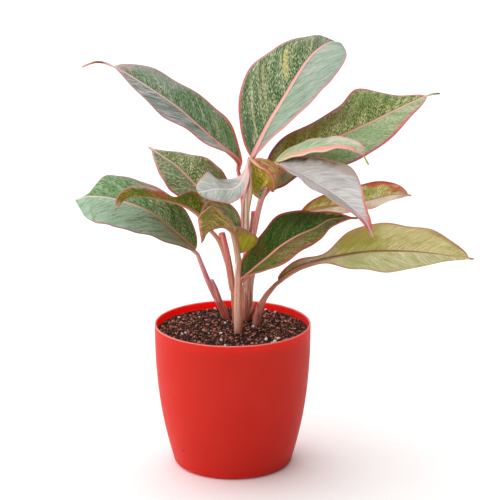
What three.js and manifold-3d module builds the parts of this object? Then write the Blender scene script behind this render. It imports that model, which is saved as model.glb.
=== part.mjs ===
// A potted Chinese evergreen: a red plastic pot filled with potting soil, and five leafy shoots with
// fourteen pink-edged leaf blades. Millimetres, +Z up; the pot's axis is the Z axis, its flat base lies
// on z = 0, and -Y is the front.
import * as THREE from 'three';
import { mergeVertices } from 'three/addons/utils/BufferGeometryUtils.js';
import Module from 'manifold-3d';

const wasm = await Module();
wasm.setup();

// Driving dimensions.
const GAP = 0.3; // between pieces that touch
const SAME_PLACE = 1e-3; // vertices nearer than this are one

const POT = {
  height: 121,
  mouthRadius: 65,
  footRadius: 49,
  flare: 2.4, // power of the side's curve
  wall: 1.6,
  floor: 2,
  corner: 4.5, // round of the bottom edge
  cornerSteps: 4,
  lip: 0.6, // round of the rim
  rings: 6,
  segments: 40,
};
const DRAIN = { count: 6, radius: 4, circle: 30, sides: 16 };

const SOIL = {
  below: 6.5, // under the rim, at the wall
  crown: 3, // rise toward the middle
  lump: 0.9, // height of the lumps
  spacing: [7.3, 6.1, 4.7], // of the lumps, across, front to back and aslant
  rings: 5,
  segments: 30,
};

const BLADE = {
  thickness: 0.8,
  least: 0.7, // half width at the base and along a drawn-out tip
  steps: 12, // along the midrib
  columns: 3, // from the midrib to each edge
  leastMitre: 0.3, // caps the thickness of a sharp crease
};
const STALK = { steps: 8, sides: 7, approach: 4, ribSteps: 10, ribEnd: 0.93, tip: 0.45 };
const CANE = { depth: 26, steps: 6, sides: 10 };
const SHEATH_STEPS = 5;

const COLOURS = {
  pot: 0xd3322b,
  soil: 0x33261d,
  shoot: 0xd98878,
  blade: 0x3f6f4a,
};

// The shoots: where each cane stands in the soil, its radius at the foot and at the top, the height of
// its top, and the free ends of old leaf sheaths on it. A sheath is a path and its two radii.
const SHOOTS = {
  shoot_front: { foot: [5, -17], top: [6, -17, 136], radii: [4.4, 3.4], sheaths: [] },
  shoot_left: {
    foot: [-5, 21],
    top: [-13, 18, 139],
    radii: [3.7, 3],
    sheaths: [{ path: [[-11, 18, 134], [-15, 16, 143], [-17, 15, 151]], radii: [3, 1.2] }],
  },
  shoot_right: {
    foot: [19, 6],
    top: [24, 4, 134],
    radii: [4.1, 3.2],
    sheaths: [{ path: [[22, 5, 128], [26, 3, 138], [29, 0, 150]], radii: [3, 1.1] }],
  },
  shoot_middle: {
    foot: [13, 18],
    top: [14, 10, 172],
    radii: [4.8, 4.2],
    sheaths: [
      { path: [[14, 11, 165], [15, 7, 190], [15, 3, 214]], radii: [3.6, 1.1] },
      { path: [[14, 16, 124], [16, 13, 128], [18, 11, 134]], radii: [2.6, 0.9] },
    ],
  },
  shoot_back: {
    foot: [3, 12],
    top: [1, 12, 145],
    radii: [3.6, 3],
    sheaths: [{ path: [[-3, 12, 163], [-7, 11, 181], [-10, 10, 194]], radii: [2.4, 1.7] }],
  },
};

// The leaves. The stalk runs from the soil to the blade's base, with its radius at both ends, and the
// midrib from the base to the tip. Values in a list are spread evenly from base to tip: face is the
// way the upper side looks, and each half has its width, its fold up from the flat and its further
// curl toward the edge, in degrees. Left and right are as seen along the midrib from the base, with
// the upper side up. Ends are the powers that round the outline at the base and at the tip, and tail
// is the share of the length that is a drawn-out tip.
const LEAVES = {
  blade_01: {
    shoot: 'shoot_middle',
    stalk: [[11, 14, 124], [11, 12, 163], [9, 8, 215], [7, 8, 240], [5, 8, 257]],
    radii: [3, 1.6],
    midrib: [
      [5, 8, 257], [-18, 10, 276], [-45, 12, 300], [-76, 14, 321],
      [-97, 16, 333], [-110, 18, 336], [-122, 18, 332],
    ],
    face: [[0.5, -0.6, 0.6], [0.35, -0.6, 0.7], [0.1, -0.4, 0.9]],
    left: { width: [14, 22, 19, 13], fold: [55, 22, 10], curl: [0, -10, 0] },
    right: { width: [22, 24, 23, 22], fold: [15, 12, 5], curl: [-15, -20, -10] },
    ends: [0.45, 0.6],
    tail: 0.17,
  },
  blade_02: {
    shoot: 'shoot_middle',
    stalk: [[12, 17, 124], [12, 12, 163], [9, 2, 217], [14, 1, 246], [16, 3, 260]],
    radii: [3, 1.7],
    midrib: [
      [16, 3, 260], [29, 8, 286], [40, 12, 303], [53, 18, 322], [68, 26, 337], [81, 38, 345],
      [90, 50, 343],
    ],
    face: [[-0.4, -0.9, 0.3], [-0.3, -0.85, 0.5], [-0.2, -0.5, 0.8]],
    left: { width: [41, 38, 33, 30], fold: [10, 8, 12], curl: [-15, -15, -20] },
    right: { width: [22, 28, 28, 26], fold: [30, 30, 15], curl: [-10, -15, -20] },
    ends: [0.7, 0.45],
    tail: 0.02,
  },
  blade_03: {
    shoot: 'shoot_middle',
    stalk: [[14, 19, 124], [14, 16, 162], [18, 8, 202], [25, 4, 227], [31, 5, 235]],
    radii: [3, 1.9],
    midrib: [
      [31, 5, 235], [47, 8, 253], [68, 14, 266], [93, 22, 276], [117, 32, 285], [140, 44, 294],
      [163, 56, 302], [174, 62, 303],
    ],
    face: [[0.1, -0.8, 0.6], [-0.1, -0.65, 0.75], [-0.2, -0.5, 0.8]],
    left: { width: [25, 21, 33, 17], fold: [15, 15, 10], curl: [-10, -10, 0] },
    right: { width: [20, 26, 26, 18], fold: [15, 12, 10], curl: [-15, -20, 0] },
    ends: [0.5, 0.6],
    tail: 0.08,
  },
  blade_04: {
    shoot: 'shoot_middle',
    stalk: [[14, 18, 124], [14, 14, 162], [16, 7, 203], [24, 2, 234], [35, -6, 259]],
    radii: [3, 1.3],
    midrib: [
      [35, -6, 259], [51, -10, 268], [70, -16, 274], [91, -24, 277], [102, -32, 272],
      [108, -38, 263],
    ],
    face: [[-0.3, -0.25, 1], [0, -0.2, 1], [0.5, -0.2, 0.7]],
    left: { width: [14, 14], fold: [12, 10, 0], curl: [-10, -10, 0] },
    right: { width: [14, 14], fold: [12, 8, 0], curl: [-20, -20, 0] },
    ends: [0.6, 0.5],
    tail: 0.1,
  },
  blade_05: {
    shoot: 'shoot_middle',
    stalk: [[13, 18, 124], [14, 13, 162], [18, 3, 204], [25, -2, 231], [38, -12, 258]],
    radii: [3, 1.6],
    midrib: [
      [38, -12, 258], [56, -26, 252], [68, -36, 247], [83, -48, 240], [94, -58, 233],
      [104, -66, 224], [110, -70, 212],
    ],
    face: [[0.2, -0.4, 0.9], [0.3, -0.5, 0.8], [0.5, -0.6, 0.5]],
    left: { width: [24, 26, 27, 13, 8], fold: [35, 28, 20], curl: [0, -10, -10] },
    right: { width: [22, 22], fold: [35, 30, 20], curl: [-10, -10, -10] },
    ends: [0.6, 0.5],
    tail: 0.03,
  },
  blade_06: {
    shoot: 'shoot_middle',
    stalk: [[13, 16, 124], [13, 10, 163], [13, 1, 213], [16, 0, 239], [17, -4, 259]],
    radii: [3, 1.4],
    midrib: [
      [17, -4, 259], [22, -12, 256], [29, -19, 253], [33, -25, 248], [35, -29, 242], [33, -30, 237],
    ],
    face: [[0.1, 0.95, 0.1], [0.1, 0.95, 0.1], [0.3, 0.9, 0.1]],
    left: { width: [16, 30, 27, 8, 4], fold: [10, 10, 10], curl: [0, 0, 0] },
    right: { width: [9, 10, 9, 6], fold: [15, 15, 15], curl: [10, 10, 10] },
    ends: [0.35, 0.4],
    tail: 0.03,
  },
  blade_07: {
    shoot: 'shoot_middle',
    stalk: [[12, 16, 124], [12, 9, 164], [12, 0, 213], [12, 1, 238], [13, 0, 256], [12, -5, 257]],
    radii: [3, 1.5],
    midrib: [
      [12, -5, 257], [10, -11, 248], [5, -17, 241], [-2, -26, 240], [-10, -36, 243],
      [-20, -46, 243],
    ],
    face: [[-0.6, -0.4, 0.7], [-0.2, -0.7, 0.7], [-0.1, -0.7, 0.7]],
    left: { width: [4, 12, 16, 14], fold: [0, 0, 0], curl: [-10, -20, -20] },
    right: { width: [4, 6, 22, 18], fold: [10, 10, 10], curl: [-10, -20, -20] },
    ends: [0.5, 0.4],
    tail: 0,
  },
  blade_08: {
    shoot: 'shoot_back',
    stalk: [[4, 13, 124], [5, 12, 158], [0, 9, 194], [-7, 8, 211], [-14, 10, 218]],
    radii: [2.6, 1.4],
    midrib: [
      [-14, 10, 218], [-21, 18, 224], [-30, 26, 231], [-40, 36, 239], [-49, 46, 245],
      [-59, 58, 249], [-72, 72, 255],
    ],
    face: [[0.3, -0.5, 0.8], [0.3, -0.6, 0.7], [0.2, -0.5, 0.8]],
    left: { width: [17, 21, 21], fold: [15, 12, 10], curl: [-15, -15, -10] },
    right: { width: [26, 26], fold: [15, 12, 10], curl: [-15, -15, -10] },
    ends: [0.45, 1],
    tail: 0.03,
  },
  blade_09: {
    shoot: 'shoot_left',
    stalk: [[-7, 21, 123], [-12, 19, 136], [-18, 15, 154], [-26, 10, 170], [-31, 8, 181]],
    radii: [3.4, 1.7],
    midrib: [
      [-31, 8, 181], [-46, 8, 195], [-67, 6, 213], [-90, 4, 223], [-105, 2, 227], [-118, 0, 227],
      [-128, -3, 223],
    ],
    face: [[0.4, -0.3, 0.9], [0.1, -0.4, 0.9], [-0.2, -0.3, 0.9]],
    left: { width: [20, 30, 32, 34, 32], fold: [25, 5, -5], curl: [-10, -10, -10] },
    right: {
      width: [24, 28, 29, 28, 26, 27, 20, 0],
      fold: [22, 22, 20],
      curl: [-10, -15, -20],
    },
    ends: [0.5, 0.35],
    tail: 0,
  },
  blade_10: {
    shoot: 'shoot_front',
    stalk: [[4, -18, 122], [5, -18, 146], [6, -20, 167], [9, -22, 186]],
    radii: [3.4, 2.2],
    midrib: [
      [9, -22, 186], [6, -23, 196], [3, -24, 205], [-5, -26, 210], [-14, -31, 210],
      [-20, -38, 208], [-24, -46, 201],
    ],
    face: [[0.7, 0.7, 0.1], [0.3, 0.1, 0.9], [0.1, 0.1, 1]],
    left: { width: [22, 20, 7, 20, 40], fold: [60, 60, 55, 70, 78], curl: [0, 0, 0] },
    right: { width: [6, 18, 26, 14, 0], fold: [60, 65, 60], curl: [0, 0, 0] },
    ends: [0.4, 0.15],
    tail: 0,
  },
  blade_11: {
    shoot: 'shoot_front',
    stalk: [[6, -17, 122], [7, -16, 136], [8, -16, 152], [9, -16, 163]],
    radii: [2.6, 1.9],
    midrib: [
      [9, -16, 163], [28, -18, 181], [40, -20, 192], [54, -21, 201], [67, -22, 207],
      [80, -24, 215], [101, -28, 217],
    ],
    face: [[-0.3, -0.6, 0.7], [-0.2, -0.6, 0.75], [-0.1, -0.5, 0.8]],
    left: { width: [24, 26, 21, 9], fold: [18, 15, 10], curl: [-15, -20, -10] },
    right: { width: [23, 23], fold: [70, 25, 10], curl: [0, -15, -10] },
    ends: [0.55, 0.75],
    tail: 0.03,
  },
  blade_12: {
    shoot: 'shoot_middle',
    stalk: [[15, 19, 124], [18, 20, 156], [28, 18, 183], [42, 18, 197], [56, 22, 208]],
    radii: [2.6, 1.4],
    midrib: [
      [56, 22, 208], [71, 28, 212], [94, 38, 213], [115, 46, 215], [137, 54, 218], [152, 60, 215],
    ],
    face: [[0.1, 0.85, 0.5], [0.1, 0.85, 0.5], [0.1, 0.8, 0.5]],
    left: { width: [19, 19], fold: [20, 20, 20], curl: [0, 0, 0] },
    right: { width: [13, 13, 17, 16], fold: [40, 50, 30], curl: [0, 0, 0] },
    ends: [0.45, 0.6],
    tail: 0.03,
  },
  blade_13: {
    shoot: 'shoot_right',
    stalk: [[20, 5, 123], [23, 4, 132], [28, 1, 143], [33, -2, 153], [38, -4, 158]],
    radii: [3.7, 1.8],
    midrib: [
      [38, -4, 158], [49, -2, 166], [60, 0, 171], [84, 6, 176], [114, 12, 179], [148, 20, 177],
      [179, 26, 172], [203, 30, 167],
    ],
    face: [[0, 0.8, 0.5], [0, 0.85, 0.45], [0, 0.8, 0.5]],
    left: { width: [5, 3, 11, 23, 31, 20, 12], fold: [15, 15, 10], curl: [-10, -10, 0] },
    right: { width: [5, 1, 20, 28, 25, 28, 9], fold: [15, 15, 10], curl: [-10, -10, 0] },
    ends: [0.35, 0.5],
    tail: 0.03,
  },
  blade_14: {
    shoot: 'shoot_back',
    stalk: [[3, 12, 124], [1, 12, 145], [-5, 12, 170], [-12, 12, 189], [-22, 12, 203]],
    radii: [2.9, 1.7],
    midrib: [
      [-22, 12, 203], [-28, 8, 212], [-41, 0, 222], [-60, -12, 230], [-76, -22, 234],
      [-86, -28, 233], [-93, -32, 224],
    ],
    face: [[-0.1, 0, 1], [0, 0, 1], [-0.2, 0, 0.9]],
    left: { width: [5, 18, 25, 22], fold: [66, 60, 18, 36, 60], curl: [0, 0, 0] },
    right: { width: [20, 20], fold: [15, 5, 5], curl: [-10, -10, -10] },
    ends: [0.4, 0.5],
    tail: 0.03,
  },
};

// --- closed meshes and solids ---------------------------------------------------------------------

function closedGeometry(points, triangles) {
  const geometry = new THREE.BufferGeometry();
  const flat = points.flatMap((p) => [p.x, p.y, p.z]);
  geometry.setAttribute('position', new THREE.Float32BufferAttribute(flat, 3));
  geometry.setIndex(triangles);
  return geometry;
}

function solidOf(geometry) {
  const bare = geometry.clone();
  bare.deleteAttribute('normal');
  bare.deleteAttribute('uv');
  const merged = mergeVertices(bare, SAME_PLACE);
  return new wasm.Manifold(
    new wasm.Mesh({
      numProp: 3,
      vertProperties: merged.attributes.position.array,
      triVerts: new Uint32Array(merged.index.array),
    }),
  );
}

function geometryOf(solid) {
  const mesh = solid.getMesh();
  const geometry = new THREE.BufferGeometry();
  geometry.setAttribute('position', new THREE.Float32BufferAttribute(mesh.vertProperties, 3));
  geometry.setIndex(new THREE.BufferAttribute(mesh.triVerts, 1));
  geometry.computeVertexNormals();
  return geometry;
}

// The outer skin of joined solids, so that a hollow sealed between them is filled.
function joined(solids) {
  const bodies = solids.reduce((sum, solid) => sum.add(solid)).decompose();
  return bodies.reduce((most, body) => (body.volume() > most.volume() ? body : most));
}

const vectors = (list) => list.map((p) => new THREE.Vector3(...p));

const curveThrough = (points) => new THREE.CatmullRomCurve3(points, false, 'catmullrom', 0.5);

// A value spread evenly along the leaf, at share u of its length, on a smooth curve.
function along(values, u) {
  const spans = values.length - 1;
  const k = Math.min(Math.floor(u * spans), spans - 1);
  const x = u * spans - k;
  const before = k > 0 ? values[k - 1] : 2 * values[0] - values[1];
  const after = k < spans - 1 ? values[k + 2] : 2 * values[spans] - values[spans - 1];
  const [from, to] = [values[k], values[k + 1]];
  const [leave, arrive] = [(to - before) / 2, (after - from) / 2];
  const cubic = (2 * from - 2 * to + leave + arrive) * x ** 3;
  return cubic + (3 * to - 3 * from - 2 * leave - arrive) * x ** 2 + leave * x + from;
}

// A closed tube round a row of centres, with a radius for each.
function tube(centres, radii, sides) {
  const last = centres.length - 1;
  const points = [];
  let normal = new THREE.Vector3(1, 0, 0);
  centres.forEach((centre, i) => {
    const ahead = centres[Math.min(i + 1, last)].clone().sub(centres[Math.max(i - 1, 0)]).normalize();
    normal = normal.clone().addScaledVector(ahead, -normal.dot(ahead)).normalize();
    const binormal = ahead.clone().cross(normal);
    for (let j = 0; j < sides; j++) {
      const turn = (2 * Math.PI * j) / sides;
      const point = centre.clone().addScaledVector(normal, radii[i] * Math.cos(turn));
      points.push(point.addScaledVector(binormal, radii[i] * Math.sin(turn)));
    }
  });
  const triangles = [];
  for (let i = 0; i < last; i++)
    for (let j = 0; j < sides; j++) {
      const [a, b] = [i * sides + j, i * sides + ((j + 1) % sides)];
      triangles.push(a, b, b + sides, a, b + sides, a + sides);
    }
  for (let j = 1; j < sides - 1; j++) {
    triangles.push(0, j + 1, j);
    triangles.push(last * sides, last * sides + j, last * sides + j + 1);
  }
  return solidOf(closedGeometry(points, triangles));
}

// Evenly spaced radii from the first to the second.
const taper = (radii, steps) =>
  Array.from({ length: steps + 1 }, (_, i) => radii[0] + ((radii[1] - radii[0]) * i) / steps);

// --- the pot and its soil -------------------------------------------------------------------------

// Radius of the pot's side at height z, drawn in by inset.
function sideRadius(z, inset) {
  const { mouthRadius, footRadius, flare, height } = POT;
  const lift = Math.max(0, 1 - z / height);
  return mouthRadius - (mouthRadius - footRadius) * lift ** flare - inset;
}

// Profile points up the side from the rounded bottom edge, as [radius, height].
function sideProfile(low, high, inset, corner, rings) {
  const points = [];
  const edge = sideRadius(low + corner, inset);
  for (let k = 0; k < POT.cornerSteps; k++) {
    const turn = (k / POT.cornerSteps) * (Math.PI / 2);
    points.push([edge - corner + corner * Math.sin(turn), low + corner * (1 - Math.cos(turn))]);
  }
  for (let k = 0; k <= rings; k++) {
    const z = low + corner + ((high - low - corner) * k) / rings;
    points.push([sideRadius(z, inset), z]);
  }
  return points;
}

function lathe(profile, segments) {
  const outline = profile.map(([radius, z]) => new THREE.Vector2(radius, z));
  return new THREE.LatheGeometry(outline, segments).rotateX(Math.PI / 2);
}

function drainHoles() {
  const depth = 3 * POT.floor;
  return Array.from({ length: DRAIN.count }, (_, k) => {
    const turn = (2 * Math.PI * k) / DRAIN.count;
    const hole = new THREE.CylinderGeometry(DRAIN.radius, DRAIN.radius, depth, DRAIN.sides);
    hole.rotateX(Math.PI / 2);
    hole.translate(DRAIN.circle * Math.cos(turn), DRAIN.circle * Math.sin(turn), 0);
    return solidOf(hole);
  });
}

function pot() {
  const { height, wall, floor, corner, lip, rings } = POT;
  const outer = sideProfile(0, height - lip, 0, corner, rings);
  const rim = [
    [POT.mouthRadius - lip, height],
    [POT.mouthRadius - wall + lip, height],
  ];
  const inner = sideProfile(floor, height - lip, wall, corner - wall, rings).reverse();
  const shell = solidOf(lathe([[0, 0], ...outer, ...rim, ...inner, [0, floor]], POT.segments));
  return drainHoles().reduce((left, hole) => left.subtract(hole), shell);
}

// Height of the lumpy soil at a place, above the level at the wall.
function soilRise(x, y) {
  const crown = SOIL.crown * (1 - (x * x + y * y) / POT.mouthRadius ** 2);
  const [across, deep, aslant] = SOIL.spacing;
  const lumps = Math.sin(x / across + 1) * Math.cos(y / deep) + Math.sin((x + y) / aslant);
  return crown + (SOIL.lump * lumps) / 2;
}

function soilBody() {
  const inset = POT.wall + GAP;
  const low = POT.floor + GAP;
  const high = POT.height - SOIL.below;
  const side = sideProfile(low, high, inset, POT.corner - POT.wall, POT.rings);
  const rings = Array.from({ length: SOIL.rings - 1 }, (_, k) => [
    (sideRadius(high, inset) * (SOIL.rings - 1 - k)) / SOIL.rings,
    high,
  ]);
  const body = lathe([[0, low], ...side, ...rings, [0, high]], SOIL.segments);
  const place = body.attributes.position;
  const edge = sideRadius(high, inset) - 1;
  for (let i = 0; i < place.count; i++) {
    const [x, y] = [place.getX(i), place.getY(i)];
    const onTop = place.getZ(i) > high - SAME_PLACE && Math.hypot(x, y) < edge;
    if (onTop) place.setZ(i, high + soilRise(x, y));
  }
  return solidOf(body);
}

// --- the leaves -----------------------------------------------------------------------------------

// Place of the midrib at share u, and the leaf's ways there: ahead, to its left side, and up.
function leafFrame(leaf, u) {
  const midrib = curveThrough(vectors(leaf.midrib));
  const ahead = midrib.getTangentAt(u);
  const side = curveThrough(vectors(leaf.face)).getPoint(u).cross(ahead).normalize();
  return { place: midrib.getPointAt(u), ahead, side, up: ahead.clone().cross(side) };
}

// Share of the full half width at share u: rounded at the base, pointed at the tip.
function outline(leaf, u) {
  const [base, tip] = leaf.ends;
  const widest = base / (base + tip);
  const x = Math.min(1, u / (1 - leaf.tail));
  return (x / widest) ** base * ((1 - x) / (1 - widest)) ** tip;
}

// A point of one half, at share s of the way from the midrib to the edge.
function halfPoint(leaf, frame, u, s, sign) {
  const half = sign > 0 ? leaf.left : leaf.right;
  const width = Math.max(along(half.width, u) * outline(leaf, u), BLADE.least);
  const fold = THREE.MathUtils.degToRad(along(half.fold, u));
  const bend = THREE.MathUtils.degToRad(along(half.curl, u));
  const curl = Math.abs(bend) < 1e-3 ? 1e-3 : bend;
  const across = (width * (Math.sin(fold + curl * s) - Math.sin(fold))) / curl;
  const up = (width * (Math.cos(fold) - Math.cos(fold + curl * s))) / curl;
  const point = frame.place.clone().addScaledVector(frame.side, sign * across);
  return point.addScaledVector(frame.up, up);
}

// The blade's middle surface: rows from base to tip, columns from the right edge to the left edge.
function bladeRows(leaf) {
  return Array.from({ length: BLADE.steps + 1 }, (_, i) => {
    const u = i / BLADE.steps;
    const frame = leafFrame(leaf, u);
    return Array.from({ length: 2 * BLADE.columns + 1 }, (_, j) => {
      const s = (j - BLADE.columns) / BLADE.columns;
      return halfPoint(leaf, frame, u, Math.abs(s), s > 0 ? 1 : -1);
    });
  });
}

// The way from the middle surface to the upper face at one grid point, half a thickness long.
function towardUpper(rows, i, j) {
  const last = rows.length - 1;
  const ahead = rows[Math.min(i + 1, last)][j].clone().sub(rows[Math.max(i - 1, 0)][j]);
  const normal = (from, to) =>
    ahead.clone().cross(rows[i][to].clone().sub(rows[i][from])).normalize();
  const columns = 2 * BLADE.columns;
  const beforeIt = normal(Math.max(j - 1, 0), Math.max(j, 1));
  const afterIt = normal(Math.min(j, columns - 1), Math.min(j + 1, columns));
  const mean = beforeIt.clone().add(afterIt).normalize();
  const mitre = Math.max(mean.dot(afterIt), BLADE.leastMitre);
  return mean.multiplyScalar(BLADE.thickness / 2 / mitre);
}

function blade(leaf) {
  const rows = bladeRows(leaf);
  const columns = 2 * BLADE.columns + 1;
  const grid = rows.flatMap((row, i) => row.map((point, j) => ({ point, to: towardUpper(rows, i, j) })));
  const upper = grid.map(({ point, to }) => point.clone().add(to));
  const lower = grid.map(({ point, to }) => point.clone().sub(to));
  const under = grid.length;
  const triangles = [];
  for (let i = 0; i < BLADE.steps; i++)
    for (let j = 0; j < columns - 1; j++) {
      const [a, b] = [i * columns + j, i * columns + j + 1];
      const [c, d] = [a + columns, b + columns];
      triangles.push(a, d, b, a, c, d);
      triangles.push(a + under, b + under, d + under, a + under, d + under, c + under);
    }
  const wall = (a, b) => triangles.push(a, b, b + under, a, b + under, a + under);
  for (let j = 0; j < columns - 1; j++) {
    wall(j, j + 1);
    wall(BLADE.steps * columns + j + 1, BLADE.steps * columns + j);
  }
  for (let i = 0; i < BLADE.steps; i++) {
    wall((i + 1) * columns, i * columns);
    wall(i * columns + columns - 1, (i + 1) * columns + columns - 1);
  }
  return closedGeometry([...upper, ...lower], triangles);
}

// --- the shoots -----------------------------------------------------------------------------------

// Centre of the rib of a given radius, just under the crease of the blade at share u.
function ribCentre(leaf, u, radius) {
  const { place, side, up } = leafFrame(leaf, u);
  const [left, right] = [leaf.left, leaf.right].map((half) => THREE.MathUtils.degToRad(along(half.fold, u)));
  const lean = (right - left) / 2;
  const mitre = Math.max(Math.cos((left + right) / 2), BLADE.leastMitre);
  const drop = BLADE.thickness / 2 / mitre + GAP + radius;
  return place.addScaledVector(up, -drop * Math.cos(lean)).addScaledVector(side, -drop * Math.sin(lean));
}

// The stalk from the soil to the blade, running on as the rib under the blade.
function stalk(leaf) {
  const [foot, neck] = leaf.radii;
  const ribRadii = taper([neck, STALK.tip], STALK.ribSteps);
  const rib = ribRadii.map((radius, k) => ribCentre(leaf, (STALK.ribEnd * k) / STALK.ribSteps, radius));
  const approach = rib[0].clone().addScaledVector(leafFrame(leaf, 0).ahead, -STALK.approach);
  const below = new THREE.CatmullRomCurve3([...vectors(leaf.stalk.slice(0, -1)), approach]);
  const centres = [...below.getSpacedPoints(STALK.steps), ...rib];
  return tube(centres, [...taper([foot, neck], STALK.steps), ...ribRadii], STALK.sides);
}

// The cane of a shoot, or with extra round and below it the hole that it stands in.
function cane(shoot, extra) {
  const [x, y] = shoot.foot;
  const ground = POT.height - SOIL.below;
  const path = curveThrough(vectors([[x, y, ground - CANE.depth - extra], [x, y, ground], shoot.top]));
  const radii = taper(shoot.radii, CANE.steps).map((radius) => radius + extra);
  return tube(path.getSpacedPoints(CANE.steps), radii, CANE.sides);
}

function sheath({ path, radii }) {
  const centres = curveThrough(vectors(path)).getSpacedPoints(SHEATH_STEPS);
  return tube(centres, taper(radii, SHEATH_STEPS), STALK.sides);
}

function shootSolid(name) {
  const shoot = SHOOTS[name];
  const leaves = Object.values(LEAVES).filter((leaf) => leaf.shoot === name);
  return joined([cane(shoot, 0), ...leaves.map(stalk), ...shoot.sheaths.map(sheath)]);
}

// Each shoot stands in a plain hole in the soil.
function soil() {
  const solids = Object.values(SHOOTS).map((shoot) => cane(shoot, GAP));
  return solids.reduce((left, hole) => left.subtract(hole), soilBody());
}

// --- the object -----------------------------------------------------------------------------------

const material = (color, roughness) =>
  new THREE.MeshStandardMaterial({ color, roughness, metalness: 0, side: THREE.DoubleSide });

const plant = new THREE.Group();

function addPiece(name, geometry, look) {
  const mesh = new THREE.Mesh(geometry, look);
  mesh.name = name;
  plant.add(mesh);
}

addPiece('pot', geometryOf(pot()), material(COLOURS.pot, 0.4));
addPiece('soil', geometryOf(soil()), material(COLOURS.soil, 0.95));

const shootLook = material(COLOURS.shoot, 0.5);
for (const name of Object.keys(SHOOTS)) addPiece(name, geometryOf(shootSolid(name)), shootLook);

const bladeLook = material(COLOURS.blade, 0.45);
for (const [name, leaf] of Object.entries(LEAVES)) addPiece(name, blade(leaf), bladeLook);

export default plant;
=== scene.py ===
"""A potted Chinese evergreen: a red plastic pot of potting mix, and five shoots with fourteen leaves.

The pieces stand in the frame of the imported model, in metres: +Z is up, the pot's axis is the Z axis, its
flat base lies on z = 0, and -Y is the front. Sizes in the tables of shoots and leaves are in millimetres.
"""

import math

import bmesh
import bpy
import numpy as np
from bpy.props import FloatProperty, FloatVectorProperty, IntProperty, PointerProperty
from bpy.types import Operator, Panel, PropertyGroup
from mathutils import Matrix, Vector, noise


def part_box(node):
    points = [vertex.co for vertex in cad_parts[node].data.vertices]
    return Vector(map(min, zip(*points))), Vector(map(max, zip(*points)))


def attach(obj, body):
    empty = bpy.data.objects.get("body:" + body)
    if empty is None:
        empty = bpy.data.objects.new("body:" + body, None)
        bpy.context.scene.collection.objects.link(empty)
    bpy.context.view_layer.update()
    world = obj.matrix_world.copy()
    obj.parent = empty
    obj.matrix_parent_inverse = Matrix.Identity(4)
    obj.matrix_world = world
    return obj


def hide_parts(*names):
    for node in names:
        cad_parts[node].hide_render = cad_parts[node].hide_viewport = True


bl_info = {
    "name": "Potted Chinese evergreen",
    "version": (1, 0, 0),
    "blender": (4, 5, 0),
    "location": "View3D > Sidebar > Evergreen",
    "description": "Builds a pink-edged Chinese evergreen in a red plastic pot around its packed model",
    "category": "Object",
}

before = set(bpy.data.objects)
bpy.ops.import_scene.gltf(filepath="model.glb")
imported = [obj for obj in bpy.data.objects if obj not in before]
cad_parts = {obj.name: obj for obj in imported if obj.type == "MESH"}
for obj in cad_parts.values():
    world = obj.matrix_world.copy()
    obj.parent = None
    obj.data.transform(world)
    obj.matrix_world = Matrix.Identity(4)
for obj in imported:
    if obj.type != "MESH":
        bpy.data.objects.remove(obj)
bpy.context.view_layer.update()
POT_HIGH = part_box("pot")[1]

MM = 0.001
BODY = "root"

# The shoots: where each cane stands in the soil, its top, its radii at both, the colours of its skin from
# the soil up, and the free ends of old leaf sheaths on it, each a path, its two radii and its colours.
SHOOTS = {
    "shoot_front": {
        "foot": (4.6, -17),
        "top": (5, -17, 136),
        "radii": (3.6, 3),
        "skin": [(160, 94, 60), (222, 150, 114)],
        "sheaths": [],
    },
    "shoot_left": {
        "foot": (-5, 21),
        "top": (-14, 18, 139),
        "radii": (3.7, 3),
        "skin": [(160, 92, 72), (222, 94, 86)],
        "sheaths": [
            (
                [(-12, 18, 134), (-15, 17, 145), (-18, 15.5, 153)],
                (3.2, 1.8),
                [(222, 120, 120), (226, 160, 164)],
            ),
        ],
    },
    "shoot_right": {
        "foot": (19, 6),
        "top": (23, 4, 134),
        "radii": (4.1, 3.2),
        "skin": [(156, 88, 70), (206, 116, 100)],
        "sheaths": [
            ([(20, 5, 122), (21.5, 3, 129), (22, 1, 137)], (3, 1.3), [(196, 116, 104), (150, 96, 88)]),
        ],
    },
    "shoot_middle": {
        "foot": (12, 18),
        "top": (13, 10, 172),
        "radii": (4.6, 3.6),
        # The darker brown of this cane's skin low down is painted shade, where it stands behind the front
        # cane.
        "skin": [(116, 60, 44), (166, 88, 66), (222, 142, 122)],
        "sheaths": [
            ([(14, 11, 165), (16, 6, 190), (17.5, 2, 215)], (3.4, 2.2), [(230, 140, 124), (236, 100, 104)]),
            ([(14, 16, 124), (16, 13, 128), (18, 11, 134)], (2.6, 0.9), [(166, 88, 66), (206, 126, 108)]),
        ],
    },
    "shoot_back": {
        "foot": (3, 12),
        "top": (1, 12, 145),
        "radii": (3.6, 3),
        "skin": [(190, 118, 92), (220, 138, 112)],
        "sheaths": [
            (
                [(0, 12, 146), (-4, 11, 172), (-9, 10, 195)],
                (3, 2.8),
                [(220, 138, 112), (222, 130, 110), (244, 110, 110)],
            ),
        ],
    },
}

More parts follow.
